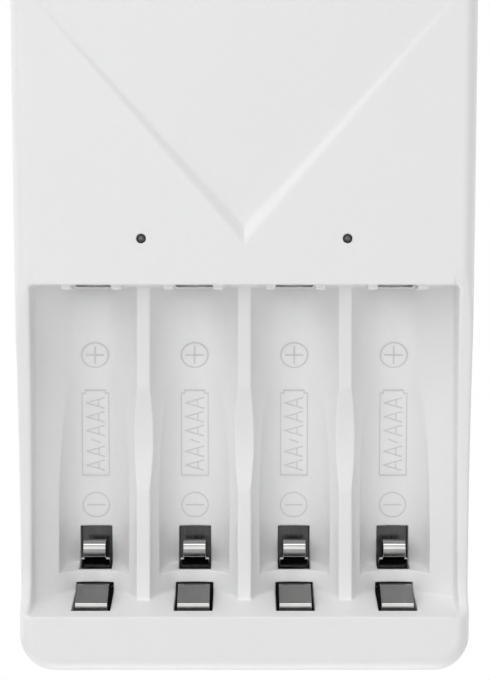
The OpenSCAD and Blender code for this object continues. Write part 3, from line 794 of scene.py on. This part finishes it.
    def distance(self, at: Spots) -> Array:
        """Measure the distance to the plastic.

        Args:
            at: Drawing points.

        Returns:
            Signed distance, negative inside it.
        """
        x, depth, height = at
        outline = self.outline.distance(x, height)
        shell = round_common(outline, -depth, self.front_edge)
        shell = round_common(shell, depth - self.seam, self.seam_edge)
        bay = self.bay(at)
        hollow = common(outline + self.wall, self.front_wall - depth, self.floor_wall - bay)
        shell = np.minimum(np.maximum(shell, -hollow), self.posts(at))
        for cut, edge in ((bay, self.rim_edge), (self.dip(at), self.dip_edge),
                          (self.recess(at), self.recess_edge), (self.windows(at), self.window_edge)):
            shell = soft_common(shell, -cut, edge)
        shell = np.maximum(shell, -self.plus_slots(at))
        hole = np.hypot(np.abs(x) - self.pitch, height - self.light_height) - self.light_hole
        hole = np.maximum(hole, depth - self.front_wall - self.hole_overrun)
        shell = soft_common(shell, -hole, self.hole_edge)
        return soft_union(shell, self.tabs(at), self.window_edge)


@dataclass
class RearCover(CaseHalf):
    """Rear cover with its screw wells and the opening for the plug neck."""

    node: str = "rear_cover"
    voxel: float = 0.4
    triangles: int = 90_000
    back: float = 28.0
    back_edge: float = 2.6
    well_radius: float = 2.4
    screw_radius: float = 1.2
    screw_seat: float = 22.8
    post_front: float = 21.0
    hole_edge: float = 0.4
    plug_height: float = 86.0
    plug_half: tuple[float, float] = (17.75, 6.95)
    plug_chamfer: float = 4.5
    plug_overrun: float = 1.0

    def distance(self, at: Spots) -> Array:
        """Measure the distance to the plastic.

        Args:
            at: Drawing points.

        Returns:
            Signed distance, negative inside it.
        """
        x, depth, height = at
        outline = self.outline.distance(x, height)
        shell = round_common(outline, depth - self.back, self.back_edge)
        shell = round_common(shell, self.seam - depth, self.seam_edge)
        shell = np.maximum(shell, -np.maximum(outline + self.wall, depth - self.back + self.wall))
        reach = self.outline.screw_reach(x, height)
        post = common(reach - self.post_radius, self.post_front - depth, depth - self.back + self.wall / 2)
        well = np.maximum(reach - self.well_radius, self.screw_seat - depth)
        shell = soft_common(np.minimum(shell, post), -well, self.hole_edge)
        shell = np.maximum(shell, self.screw_radius - reach)
        plug = plug_octagon(x, height - self.plug_height, self.plug_half, self.plug_chamfer)
        plug = np.maximum(plug, self.back - self.wall - self.plug_overrun - depth)
        return soft_common(shell, -plug, self.hole_edge)


def plug_octagon(x: Array, height: Array, half: tuple[float, float], chamfer: float) -> Array:
    """Measure the distance to the plug neck's flat octagon.

    Args:
        x: Distance across.
        height: Distance above the plug's middle.
        half: Half of the neck's width and height.
        chamfer: Size of the four chamfers.

    Returns:
        Signed distance, negative inside.
    """
    across, up = np.abs(x) - half[0], np.abs(height) - half[1]
    return np.maximum(np.maximum(across, up), (across + up + chamfer) / math.sqrt(2))


@dataclass
class PlugNeck(Moulding):
    """Flat plug neck that stands out of the rear cover."""

    node: str = "plug_insert"
    voxel: float = 0.3
    triangles: int = 40_000
    height: float = 86.0
    half: tuple[float, float] = (17.65, 6.85)
    chamfer: float = 4.5
    flange: float = 2.2
    flange_front: float = 24.0
    flange_back: float = 26.2
    end: float = 46.0
    face: float = 2.5
    edge: float = 0.9
    wall: float = 2.2
    pin_half: float = 9.5
    pin_hole: float = 1.6

    def distance(self, at: Spots) -> Array:
        """Measure the distance to the plastic.

        Args:
            at: Drawing points.

        Returns:
            Signed distance, negative inside it.
        """
        x, depth, height = at
        up = height - self.height
        outline = plug_octagon(x, up, self.half, self.chamfer)
        neck = round_common(outline, depth - self.end, self.edge)
        flange = np.maximum(outline - self.flange, depth - self.flange_back)
        shell = np.maximum(np.minimum(neck, flange), self.flange_front - depth)
        shell = np.maximum(shell, -np.maximum(outline + self.wall, depth - self.end + self.face))
        hole = np.hypot(np.abs(x) - self.pin_half, up) - self.pin_hole
        return np.maximum(shell, -hole)


class Mark(Enum):
    """Signs moulded into each groove floor, with the height of their middle."""

    PLUS = 51.47
    CELL = 38.05
    MINUS = 25.96


@dataclass
class GrooveMarks:
    """Fine moulded lines in the grooves: plus and minus signs, and a cell with its sizes.

    Attributes:
        datum: Datum of the drawing.
        housing: Housing whose groove floors carry the lines.
        line: Width of a line.
        rise: Height of its ridge above the floor.
        foot: How deep its edges are sunk in the floor.
        root: How deep its underside is sunk.
        parts: Parts of each straight stretch, which follow the floor.
        least_mitre: Least cosine at a corner, which keeps its mitre short.
        crossbar: Place and half-length of a letter's bar, as shares of its height and width.
        slash: Ends of the slash, as shares of a letter's height, and its lean.
    """

    datum: Datum
    housing: FrontHousing
    line: float = 0.24
    rise: float = 0.05
    foot: float = 0.01
    root: float = 0.06
    parts: int = 4
    least_mitre: float = 0.4
    ring: tuple[float, float] = (2.24, 2.1)
    ring_steps: int = 48
    bar: float = 1.53
    cell_half: tuple[float, float] = (2.27, 6.97)
    nub: tuple[float, float] = (1.69, 0.48)
    letter: tuple[float, float] = (1.8, 3.1)
    crossbar: tuple[float, float] = (1 / 6, 1 / 3)
    slash: tuple[float, float, float] = (0.28, -0.26, 0.3)
    pitch: float = 2.35
    word_gap: float = 3.55

    def signs(self) -> list[tuple[Line, bool]]:
        """Draw the lines of one groove.

        Returns:
            Each line and whether it is closed.
        """
        turn = [2 * math.pi * k / self.ring_steps for k in range(self.ring_steps)]
        wide, tall = self.ring
        lines = []
        for mark in (Mark.PLUS, Mark.MINUS):
            lines.append(([(wide * math.cos(a), mark.value + tall * math.sin(a)) for a in turn], True))
            lines.append(([(-self.bar, mark.value), (self.bar, mark.value)], False))
        lines.append(([(0, Mark.PLUS.value - self.bar), (0, Mark.PLUS.value + self.bar)], False))
        middle, (wide, tall), (nub, lift) = Mark.CELL.value, self.cell_half, self.nub
        top = middle + tall
        half = [(wide, middle - tall), (wide, top), (nub, top), (nub, top + lift)]
        lines.append((half + [(-x, z) for x, z in reversed(half)], True))
        return lines + [(stroke, False) for stroke in self.lettering()]

    def lettering(self) -> list[Line]:
        """Draw the two cell sizes, which read upwards.

        Returns:
            Each stroke.
        """
        wide, tall = self.letter
        (level, reach), (start, end, lean) = self.crossbar, self.slash
        slash = Mark.CELL.value - self.pitch / 2
        low, high = slash - self.word_gap / 2, slash + self.word_gap / 2
        strokes = []
        for middle in (low - self.pitch, low, high, high + self.pitch, high + 2 * self.pitch):
            feet = (middle - wide / 2, middle + wide / 2)
            strokes.append([(tall / 2, feet[0]), (-tall / 2, middle), (tall / 2, feet[1])])
            strokes.append([(tall * level, middle - wide * reach), (tall * level, middle + wide * reach)])
        strokes.append([(tall * start, slash - lean), (tall * end, slash + lean)])
        return strokes

    def ridge(self, line: Line, closed: bool, middle: float) -> tuple[Array, list[list[int]]]:
        """Lay one raised line on a groove floor.

        Args:
            line: The line.
            closed: Whether the line ends where it starts.
            middle: Place of the groove across the housing.

        Returns:
            Drawing points and faces of the ridge, four points to a section.
        """
        path = np.array(line)
        if not closed:
            path = np.concatenate([path[:-1] + (path[1:] - path[:-1]) * k / self.parts
                                   for k in range(self.parts)], axis=1)
            path = np.concatenate([path.reshape(-1, 2), [line[-1]]])
        count = len(path)
        ahead = np.roll(path, -1, axis=0) - path
        behind = path - np.roll(path, 1, axis=0)
        if not closed:
            ahead[-1], behind[0] = behind[-1], ahead[0]
        ahead /= np.linalg.norm(ahead, axis=1, keepdims=True)
        behind /= np.linalg.norm(behind, axis=1, keepdims=True)
        way = ahead + behind
        way /= np.linalg.norm(way, axis=1, keepdims=True)
        stretch = 1 / np.maximum((way * ahead).sum(axis=1), self.least_mitre)
        side = np.stack([-way[:, 1], way[:, 0]], axis=1) * (self.line / 2 * stretch)[:, None]
        sections = []
        for shift, lift in ((1, -self.foot), (0, self.rise), (-1, -self.foot), (0, -self.root)):
            spot = path + shift * side
            depth = self.housing.groove_floor(spot[:, 0], spot[:, 1]) - lift
            sections.append(np.stack([spot[:, 0] + middle, depth, spot[:, 1]], axis=1))
        sides, points = len(sections), np.stack(sections, axis=1).reshape(-1, 3)
        faces = loft(count, sides, closed)
        if not closed:
            faces += [list(range(sides))[::-1], [len(points) - sides + k for k in range(sides)]]
        return points, faces

    def build(self) -> bpy.types.Object:
        """Make the lines of all four grooves.

        Returns:
            One piece with all the lines.
        """
        points, faces, first = [], [], 0
        for slot in SLOTS:
            for line, closed in self.signs():
                spots, quads = self.ridge(line, closed, self.housing.slot_middle(slot))
                points.append(spots)
                faces += [[first + i for i in quad] for quad in quads]
                first += len(spots)
        # The lines' darker grey is painted shade.
        piece = new_piece("groove_marks", self.datum.to_frame(np.concatenate(points)), faces, PAINTED_SHADE_MARK_ABS)
        face_outwards(piece)
        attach(piece, BODY)
        return piece


@dataclass(frozen=True)
class Run:
    """A length of strip.

    Attributes:
        places: Points of its middle line with the direction that it runs in.
        width: Width of the strip.
        finish: Finish of its surface.
    """

    places: list[Place]
    width: float
    finish: Finish = NICKEL_STRIP


def bend(before: complex, corner: complex, after: complex, radius: float) -> list[Place]:
    """Round one corner of a strip's middle line.

    Args:
        before: Point before the corner.
        corner: The corner.
        after: Point after the corner.
        radius: Bend radius.

    Returns:
        Places in the bend.
    """
    way, turn = cmath.phase(corner - before), cmath.phase((after - corner) / (corner - before))
    side = 1j * math.copysign(radius, turn)
    centre = corner - cmath.rect(radius * math.tan(abs(turn) / 2), way) + side * cmath.rect(1, way)
    ways = [way + turn * k / BEND_STEPS for k in range(BEND_STEPS + 1)]
    return [(centre - side * cmath.rect(1, w), w) for w in ways]


@dataclass
class SpringContact:
    """A sprung contact folded from one nickel-plated strip, with its cut edges broken.

    Attributes:
        datum: Datum of the drawing.
        housing: Housing whose end walls place the contact.
        number: Number of its slot, from the left.
    """

    datum: Datum
    housing: FrontHousing
    number: int
    kind: str = ""
    strip: float = 0.3
    edge: float = 0.05
    foot_depth: float = 18.65
    foot_radius: float = 0.45
    roll_turn: float = 260.0
    roll_steps: int = 24
    fold_radius: float = 0.5

    def foot(self, height: float, way: float) -> list[Place]:
        """Roll the foot, up to the run that leaves it.

        Args:
            height: Height of the roll's middle.
            way: Direction that the strip leaves in.

        Returns:
            Places in the roll.
        """
        turn = math.radians(self.roll_turn)
        ways = [way - turn * (1 - k / self.roll_steps) for k in range(self.roll_steps + 1)]
        return [(complex(self.foot_depth, height) - 1j * cmath.rect(self.foot_radius, w), w) for w in ways]

    def bends(self, points: list[complex], radii: list[float]) -> list[Place]:
        """Round the corners between a strip's first and last point.

        Args:
            points: Corners of the middle line, with both ends.
            radii: Radius at each corner between the ends.

        Returns:
            Places in the bends, and the end.
        """
        corners = zip(points, points[1:], points[2:], radii)
        places = [place for corner in corners for place in bend(*corner)]
        return places + [(points[-1], cmath.phase(points[-1] - points[-2]))]

    def runs(self) -> list[Run]:
        """Return the runs of the strip, from its foot to its end."""
        raise NotImplementedError

    def build(self) -> bpy.types.Object:
        """Sweep the strip along its middle line.

        Returns:
            The contact, on its own moving body and in place of its CAD node.
        """
        thick, edge = self.strip / 2, self.edge
        middle = self.housing.slot_middle(self.number)
        points, coats = [], []
        for run in self.runs():
            half = run.width / 2
            ring = [(-half, edge - thick), (edge - half, -thick), (half - edge, -thick), (half, edge - thick)]
            ring += [(x, -lift) for x, lift in reversed(ring)]
            for place, way in run.places:
                coats += [run.finish] * STRIP_SIDES
                for x, lift in ring:
                    spot = place + 1j * cmath.rect(lift, way)
                    points.append((middle + x, spot.real, spot.imag))
        faces = loft(len(points) // STRIP_SIDES, STRIP_SIDES)
        faces += [[first + k for k in range(STRIP_SIDES)] for first in (0, len(points) - STRIP_SIDES)]
        name = f"{self.kind}_contact_{self.number}"
        piece = new_piece("folded_" + name, self.datum.to_frame(np.array(points)), faces, NICKEL_STRIP)
        # Second material: the rubbed face, painted greyer as shade.
        piece.data.materials.append(RUBBED_NICKEL_PAINTED_SHADE.material())
        for face in piece.data.polygons:
            face.material_index = int(coats[face.vertices[0]] is RUBBED_NICKEL_PAINTED_SHADE)
        face_outwards(piece)
        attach(piece, f"{self.kind}_spring_{self.number}")
        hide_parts(name)
        return piece


@dataclass
class AaContact(SpringContact):
    """Contact for an AA cell: foot, nose, lead-in slope and folded tail."""

    kind: str = "aa"
    width: float = 5.3
    foot_gap: float = 0.15
    nose_depth: float = 8.2
    nose_proud: float = 2.45
    rise_run: float = 3.3
    fold_depth: float = 3.45
    fold_proud: float = 0.7
    tail: float = 1.68
    tail_angle: float = 22.8
    bend_radius: float = 0.8

    def runs(self) -> list[Run]:
        """Fold the strip.

        Returns:
            The strip up to its nose, the face that cells rub, and the fold with the tail.
        """
        wall = self.housing.end_height
        foot = wall(self.housing.trough_axis + self.housing.trough_radius) + self.foot_gap
        level = foot + self.foot_radius
        nose = complex(self.nose_depth, wall(self.nose_depth) + self.nose_proud)
        fold = complex(self.fold_depth, wall(self.fold_depth) + self.fold_proud)
        end = fold + cmath.rect(self.tail, math.radians(self.tail_angle - 90))
        rise = complex(self.nose_depth + self.rise_run, level)
        places = self.bends([complex(self.foot_depth, level), rise, nose, fold, end],
                            [self.bend_radius, self.bend_radius, self.fold_radius])
        # The face runs from the end of the second bend, the nose, to the start of the third.
        past_nose = 2 * (BEND_STEPS + 1)
        # The face that cells rub takes the greyer finish, which is painted shade.
        return [Run(self.foot(foot, math.pi) + places[:past_nose - 1], self.width),
                Run(places[past_nose - 1:past_nose], self.width, RUBBED_NICKEL_PAINTED_SHADE),
                Run(places[past_nose:], self.width)]


@dataclass
class AaaContact(SpringContact):
    """Contact for an AAA cell: wide leg, then a narrower tongue with a rolled hump."""

    kind: str = "aaa"
    width: float = 4.8
    tongue: float = 3.75
    shoulder: float = 1.0
    foot_drop: float = 1.9
    nose_depth: float = 10.9
    nose_proud: float = 5.45
    hump_radius: float = 1.3
    knee_run: float = 1.6
    tail: float = 3.4

    def runs(self) -> list[Run]:
        """Fold the strip.

        Returns:
            The wide leg and the tongue.
        """
        step = self.housing.groove_step
        foot = self.housing.end_height(self.foot_depth, step) - self.foot_drop
        face = self.housing.end_height(self.nose_depth, step) + self.nose_proud - self.strip / 2
        crest, low = self.nose_depth + self.strip / 2, face - 2 * self.hump_radius
        knee = complex(crest + self.knee_run, low)
        way = cmath.phase(knee - complex(self.foot_depth, foot))
        leg = self.foot(foot, way)
        leg.append((knee - cmath.rect(self.shoulder, way), way))
        points = [leg[-1][0], knee, complex(crest, low), complex(crest, face),
                  complex(crest + self.tail, face)]
        radii = [self.fold_radius, self.hump_radius, self.hump_radius]
        start = (leg[-1][0] + cmath.rect(self.edge, way), way)
        return [Run(leg, self.width), Run([start] + self.bends(points, radii), self.tongue)]


class Side(Enum):
    """Side of the case, as the sign of its place across."""

    LEFT = -1
    RIGHT = 1


@dataclass
class LightGuide:
    """Smoky rod that carries a diode's light to its small domed end in the front face.

    Attributes:
        datum: Datum of the drawing.
        housing: Housing that places the guide.
        side: Side that the guide is on.
    """

    datum: Datum
    housing: FrontHousing
    side: Side
    tip: float = 0.725
    dome: tuple[float, float] = (0.12, 0.42)
    dome_steps: int = 9
    clear: float = 0.36
    body: float = 1.5
    flange: float = 2.0
    flange_height: float = 1.0
    end: float = 14.7
    segments: int = 48

    def profile(self) -> list[tuple[float, float]]:
        """Draw half of the guide's section.

        Returns:
            Radius and depth along it, from the middle of the dome.
        """
        crown, rim = self.dome
        dome = [(self.tip * math.sin(a), rim - (rim - crown) * math.cos(a))
                for a in np.linspace(0, math.pi / 2, self.dome_steps)]
        front, back = self.housing.front_wall, self.housing.front_wall + self.flange_height
        return dome + [(self.tip, front), (self.flange, front), (self.flange, back), (self.body, back),
                       (self.body, self.end), (0.0, self.end)]

    def build(self) -> bpy.types.Object:
        """Turn the guide on its axis, with its rim painted dark as shade around its lighter middle.

        Returns:
            The guide, in place of its CAD node.
        """
        profile, count = self.profile(), self.segments
        turns = np.linspace(0, 2 * math.pi, count, endpoint=False)
        points = [(self.side.value * self.housing.pitch + r * math.cos(a), depth,
                   self.housing.light_height + r * math.sin(a)) for r, depth in profile for a in turns]
        name = "light_guide_" + self.side.name.lower()
        faces = loft(len(profile), count)
        piece = new_piece("turned_" + name, self.datum.to_frame(np.array(points)), faces, SMOKY_RIM_PAINTED_SHADE)
        piece.data.materials.append(SMOKY_PC.material())
        # Faces of the rim keep the painted shade; the middle of the dome gets the lighter grey.
        for index, face in enumerate(piece.data.polygons):
            ring = index // count
            face.material_index = int(profile[ring + 1][0] < self.clear and ring < self.dome_steps)
        face_outwards(piece)
        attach(piece, BODY)
        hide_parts(name)
        return piece


NODE_FINISH = {
    "circuit_board": SOLDER_MASK,
    "cover_screws": ZINC_STEEL,
    "transformer_bobbin": BLACK_COMPOUND,
    "transformer_winding": WINDING_TAPE,
    "transformer_core": FERRITE,
    "mains_capacitor": SHRUNK_PVC,
    "output_capacitor": SHRUNK_PVC,
    "safety_capacitor": YELLOW_CASE,
    "input_choke": BLACK_COMPOUND,
    "bridge_rectifier": BLACK_COMPOUND,
    "switching_ic": BLACK_COMPOUND,
    "charge_controller_ic": BLACK_COMPOUND,
    "fuse_resistor": CEMENT_COAT,
    "mains_pin": NICKEL_PIN,
    "pin_sleeve": SLEEVE_PA,
    "mains_lead": TINNED_COPPER,
    "status_led": CLEAR_EPOXY,
    "light_guide": SMOKY_PC,
    "aa_contact": NICKEL_STRIP,
    "aaa_contact": NICKEL_STRIP,
    # The anchor plates' dark grey is painted shade.
    "aaa_anchor": TIN_PLATE_PAINTED_SHADE,
    "positive_contact": NICKEL_STRIP,
    "front_housing": WHITE_ABS,
    "rear_cover": WHITE_ABS,
    "plug_insert": WHITE_ABS,
}


def dress_nodes() -> None:
    """Give every CAD node the finish of its real material."""
    for name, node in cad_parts.items():
        stem = max((key for key in NODE_FINISH if name.startswith(key)), key=len)
        node.data.materials.clear()
        node.data.materials.append(NODE_FINISH[stem].material())


@dataclass(frozen=True)
class Softbox:
    """A square studio light that looks at the case.

    Attributes:
        name: Name of the light.
        place: Its place in the frame, in metres.
        size: Its side, in metres.
        power: Its power, in watts.
    """

    name: str
    place: tuple[float, float, float]
    size: float
    power: float

    def build(self, target: Vector) -> None:
        """Hang the light.

        Args:
            target: Point that it faces, in metres.
        """
        light = bpy.data.lights.new(self.name, "AREA")
        light.size, light.energy = self.size, self.power
        lamp = bpy.data.objects.new(self.name, light)
        lamp.location = self.place
        lamp.rotation_euler = (target - Vector(self.place)).to_track_quat("-Z", "Y").to_euler()
        bpy.context.scene.collection.objects.link(lamp)


@dataclass
class Studio:
    """White studio: pale floor well below the hanging charger, soft lights and a front camera.

    Attributes:
        datum: Datum of the drawing.
        distance: Camera's distance from the front face, in millimetres.
        height: Camera's height above the bottom edge, in millimetres.
        across: Camera's place across, in millimetres.
        lens: Focal length, in millimetres.
        sensor: Height of the camera's sensor, in millimetres.
        aim_depth: Depth of the point that the lights look at, in millimetres.
        floor_drop: How far the floor lies below the case, in metres.
        floor_half: Half of the floor's side, in metres.
        floor_colour: Colour that the floor lights with.
        floor_glow: Share of plain white in the floor as it is seen.
        ambient: Strength of the room's even light.
        lights: The studio's lights.
    """

    datum: Datum
    distance: float = 330.0
    height: float = 54.0
    across: float = 0.1
    lens: float = 107.5
    sensor: float = 36.0
    aim_depth: float = 10.0
    floor_drop: float = 0.6
    floor_half: float = 3.0
    floor_colour: str = "#F2F2F2"
    floor_glow: float = 0.92
    ambient: float = 0.27
    lights: tuple[Softbox, ...] = (
        Softbox("front_softbox", (-0.15, -1.00, 0.30), 0.7, 1.9),
        Softbox("key_softbox", (-0.65, -0.50, 0.45), 0.6, 1.7),
        Softbox("top_softbox", (0.00, -0.40, 0.90), 0.5, 2.0),
        Softbox("left_fill_softbox", (-0.22, -0.46, -0.07), 0.3, 0.23),
        Softbox("right_fill_softbox", (0.22, -0.46, -0.07), 0.3, 0.24),
        Softbox("low_softbox", (0.00, -0.15, -0.45), 0.3, 0.22),
        Softbox("under_softbox", (0.00, -0.03, -0.60), 0.35, 0.6),
        Softbox("left_softbox", (-0.85, 0.30, 0.05), 0.7, 1.8),
        Softbox("right_softbox", (0.85, 0.30, 0.05), 0.7, 1.6),
        Softbox("rear_softbox", (0.25, 1.00, 0.45), 0.7, 3.0),
    )

    def camera(self) -> None:
        """Set the camera square to the front face, as in the photograph."""
        lens = bpy.data.cameras.new("front_camera")
        lens.sensor_fit, lens.sensor_height, lens.sensor_width = "VERTICAL", self.sensor, self.sensor
        lens.lens = self.lens
        camera = bpy.data.objects.new("front_camera", lens)
        camera.location = self.datum.to_frame(np.array([self.across, -self.distance, self.height]))
        camera.rotation_euler = (math.pi / 2, 0, 0)
        bpy.context.scene.collection.objects.link(camera)
        bpy.context.scene.camera = camera

    def seen_directly(self, tree: bpy.types.NodeTree) -> bpy.types.NodeSocket:
        """Tell where the room is seen, also in metal or glass, from where it only lights.

        Args:
            tree: Node tree that takes the nodes.

        Returns:
            Socket that is one where the room is seen and zero elsewhere.
        """
        path = add_node(tree, "ShaderNodeLightPath").outputs
        seen = path["Is Camera Ray"]
        for kind in ("Is Glossy Ray", "Is Transmission Ray"):
            seen = add_node(tree, "ShaderNodeMath", {0: seen, 1: path[kind]}, operation="MAXIMUM").outputs[0]
        return seen

    def world(self) -> None:
        """Light the room evenly and show it white."""
        room = bpy.data.worlds.new("white_room")
        tree = clear_tree(room)
        light = add_node(tree, "ShaderNodeBackground", {"Color": linear("#FFFFFF"), "Strength": self.ambient})
        white = add_node(tree, "ShaderNodeBackground", {"Color": linear("#FFFFFF"), "Strength": 1.0})
        both = add_node(tree, "ShaderNodeMixShader", {
            0: self.seen_directly(tree), 1: light.outputs[0], 2: white.outputs[0]})
        add_node(tree, "ShaderNodeOutputWorld", {"Surface": both.outputs[0]})
        bpy.context.scene.world = room

    def floor(self) -> None:
        """Lay a pale floor that shows nearly white but keeps a faint shadow."""
        level = self.datum.bottom - self.floor_drop
        half = self.floor_half
        corners = [(-half, -half, level), (half, -half, level), (half, half, level), (-half, half, level)]
        card = bpy.data.materials.new("pale_floor_card")
        tree = clear_tree(card)
        matt = add_node(tree, "ShaderNodeBsdfDiffuse", {"Color": linear(self.floor_colour)})
        white = add_node(tree, "ShaderNodeEmission", {"Color": linear("#FFFFFF"), "Strength": 1.0})
        share = add_node(tree, "ShaderNodeMath", {
            0: self.seen_directly(tree), 1: self.floor_glow}, operation="MULTIPLY")
        both = add_node(tree, "ShaderNodeMixShader", {
            0: share.outputs[0], 1: matt.outputs[0], 2: white.outputs[0]})
        add_node(tree, "ShaderNodeOutputMaterial", {"Surface": both.outputs[0]})
        mesh = bpy.data.meshes.new("floor")
        mesh.from_pydata(corners, [], [[0, 1, 2, 3]])
        mesh.materials.append(card)
        floor = bpy.data.objects.new("floor", mesh)
        bpy.context.scene.collection.objects.link(floor)

    def build(self) -> None:
        """Set up camera, room, floor and lights."""
        self.camera()
        self.world()
        self.floor()
        target = Vector(self.datum.to_frame(np.array([0.0, self.aim_depth, self.height])))
        for light in self.lights:
            light.build(target)
        bpy.context.scene.view_settings.view_transform = "Standard"


def main() -> None:
    logging.basicConfig(level=logging.INFO, format="%(name)s: %(message)s")
    datum = Datum.of_housing()
    Studio(datum).build()
    dress_nodes()
    housing = FrontHousing(datum)
    parts = [housing, RearCover(datum), PlugNeck(datum), GrooveMarks(datum, housing)]
    parts += [contact(datum, housing, slot) for contact in (AaContact, AaaContact) for slot in SLOTS]
    parts += [LightGuide(datum, housing, side) for side in Side]
    for part in parts:
        piece = part.build()
        LOG.info("%s: %d faces", piece.name, len(piece.data.polygons))


if __name__ == "__main__":
    main()
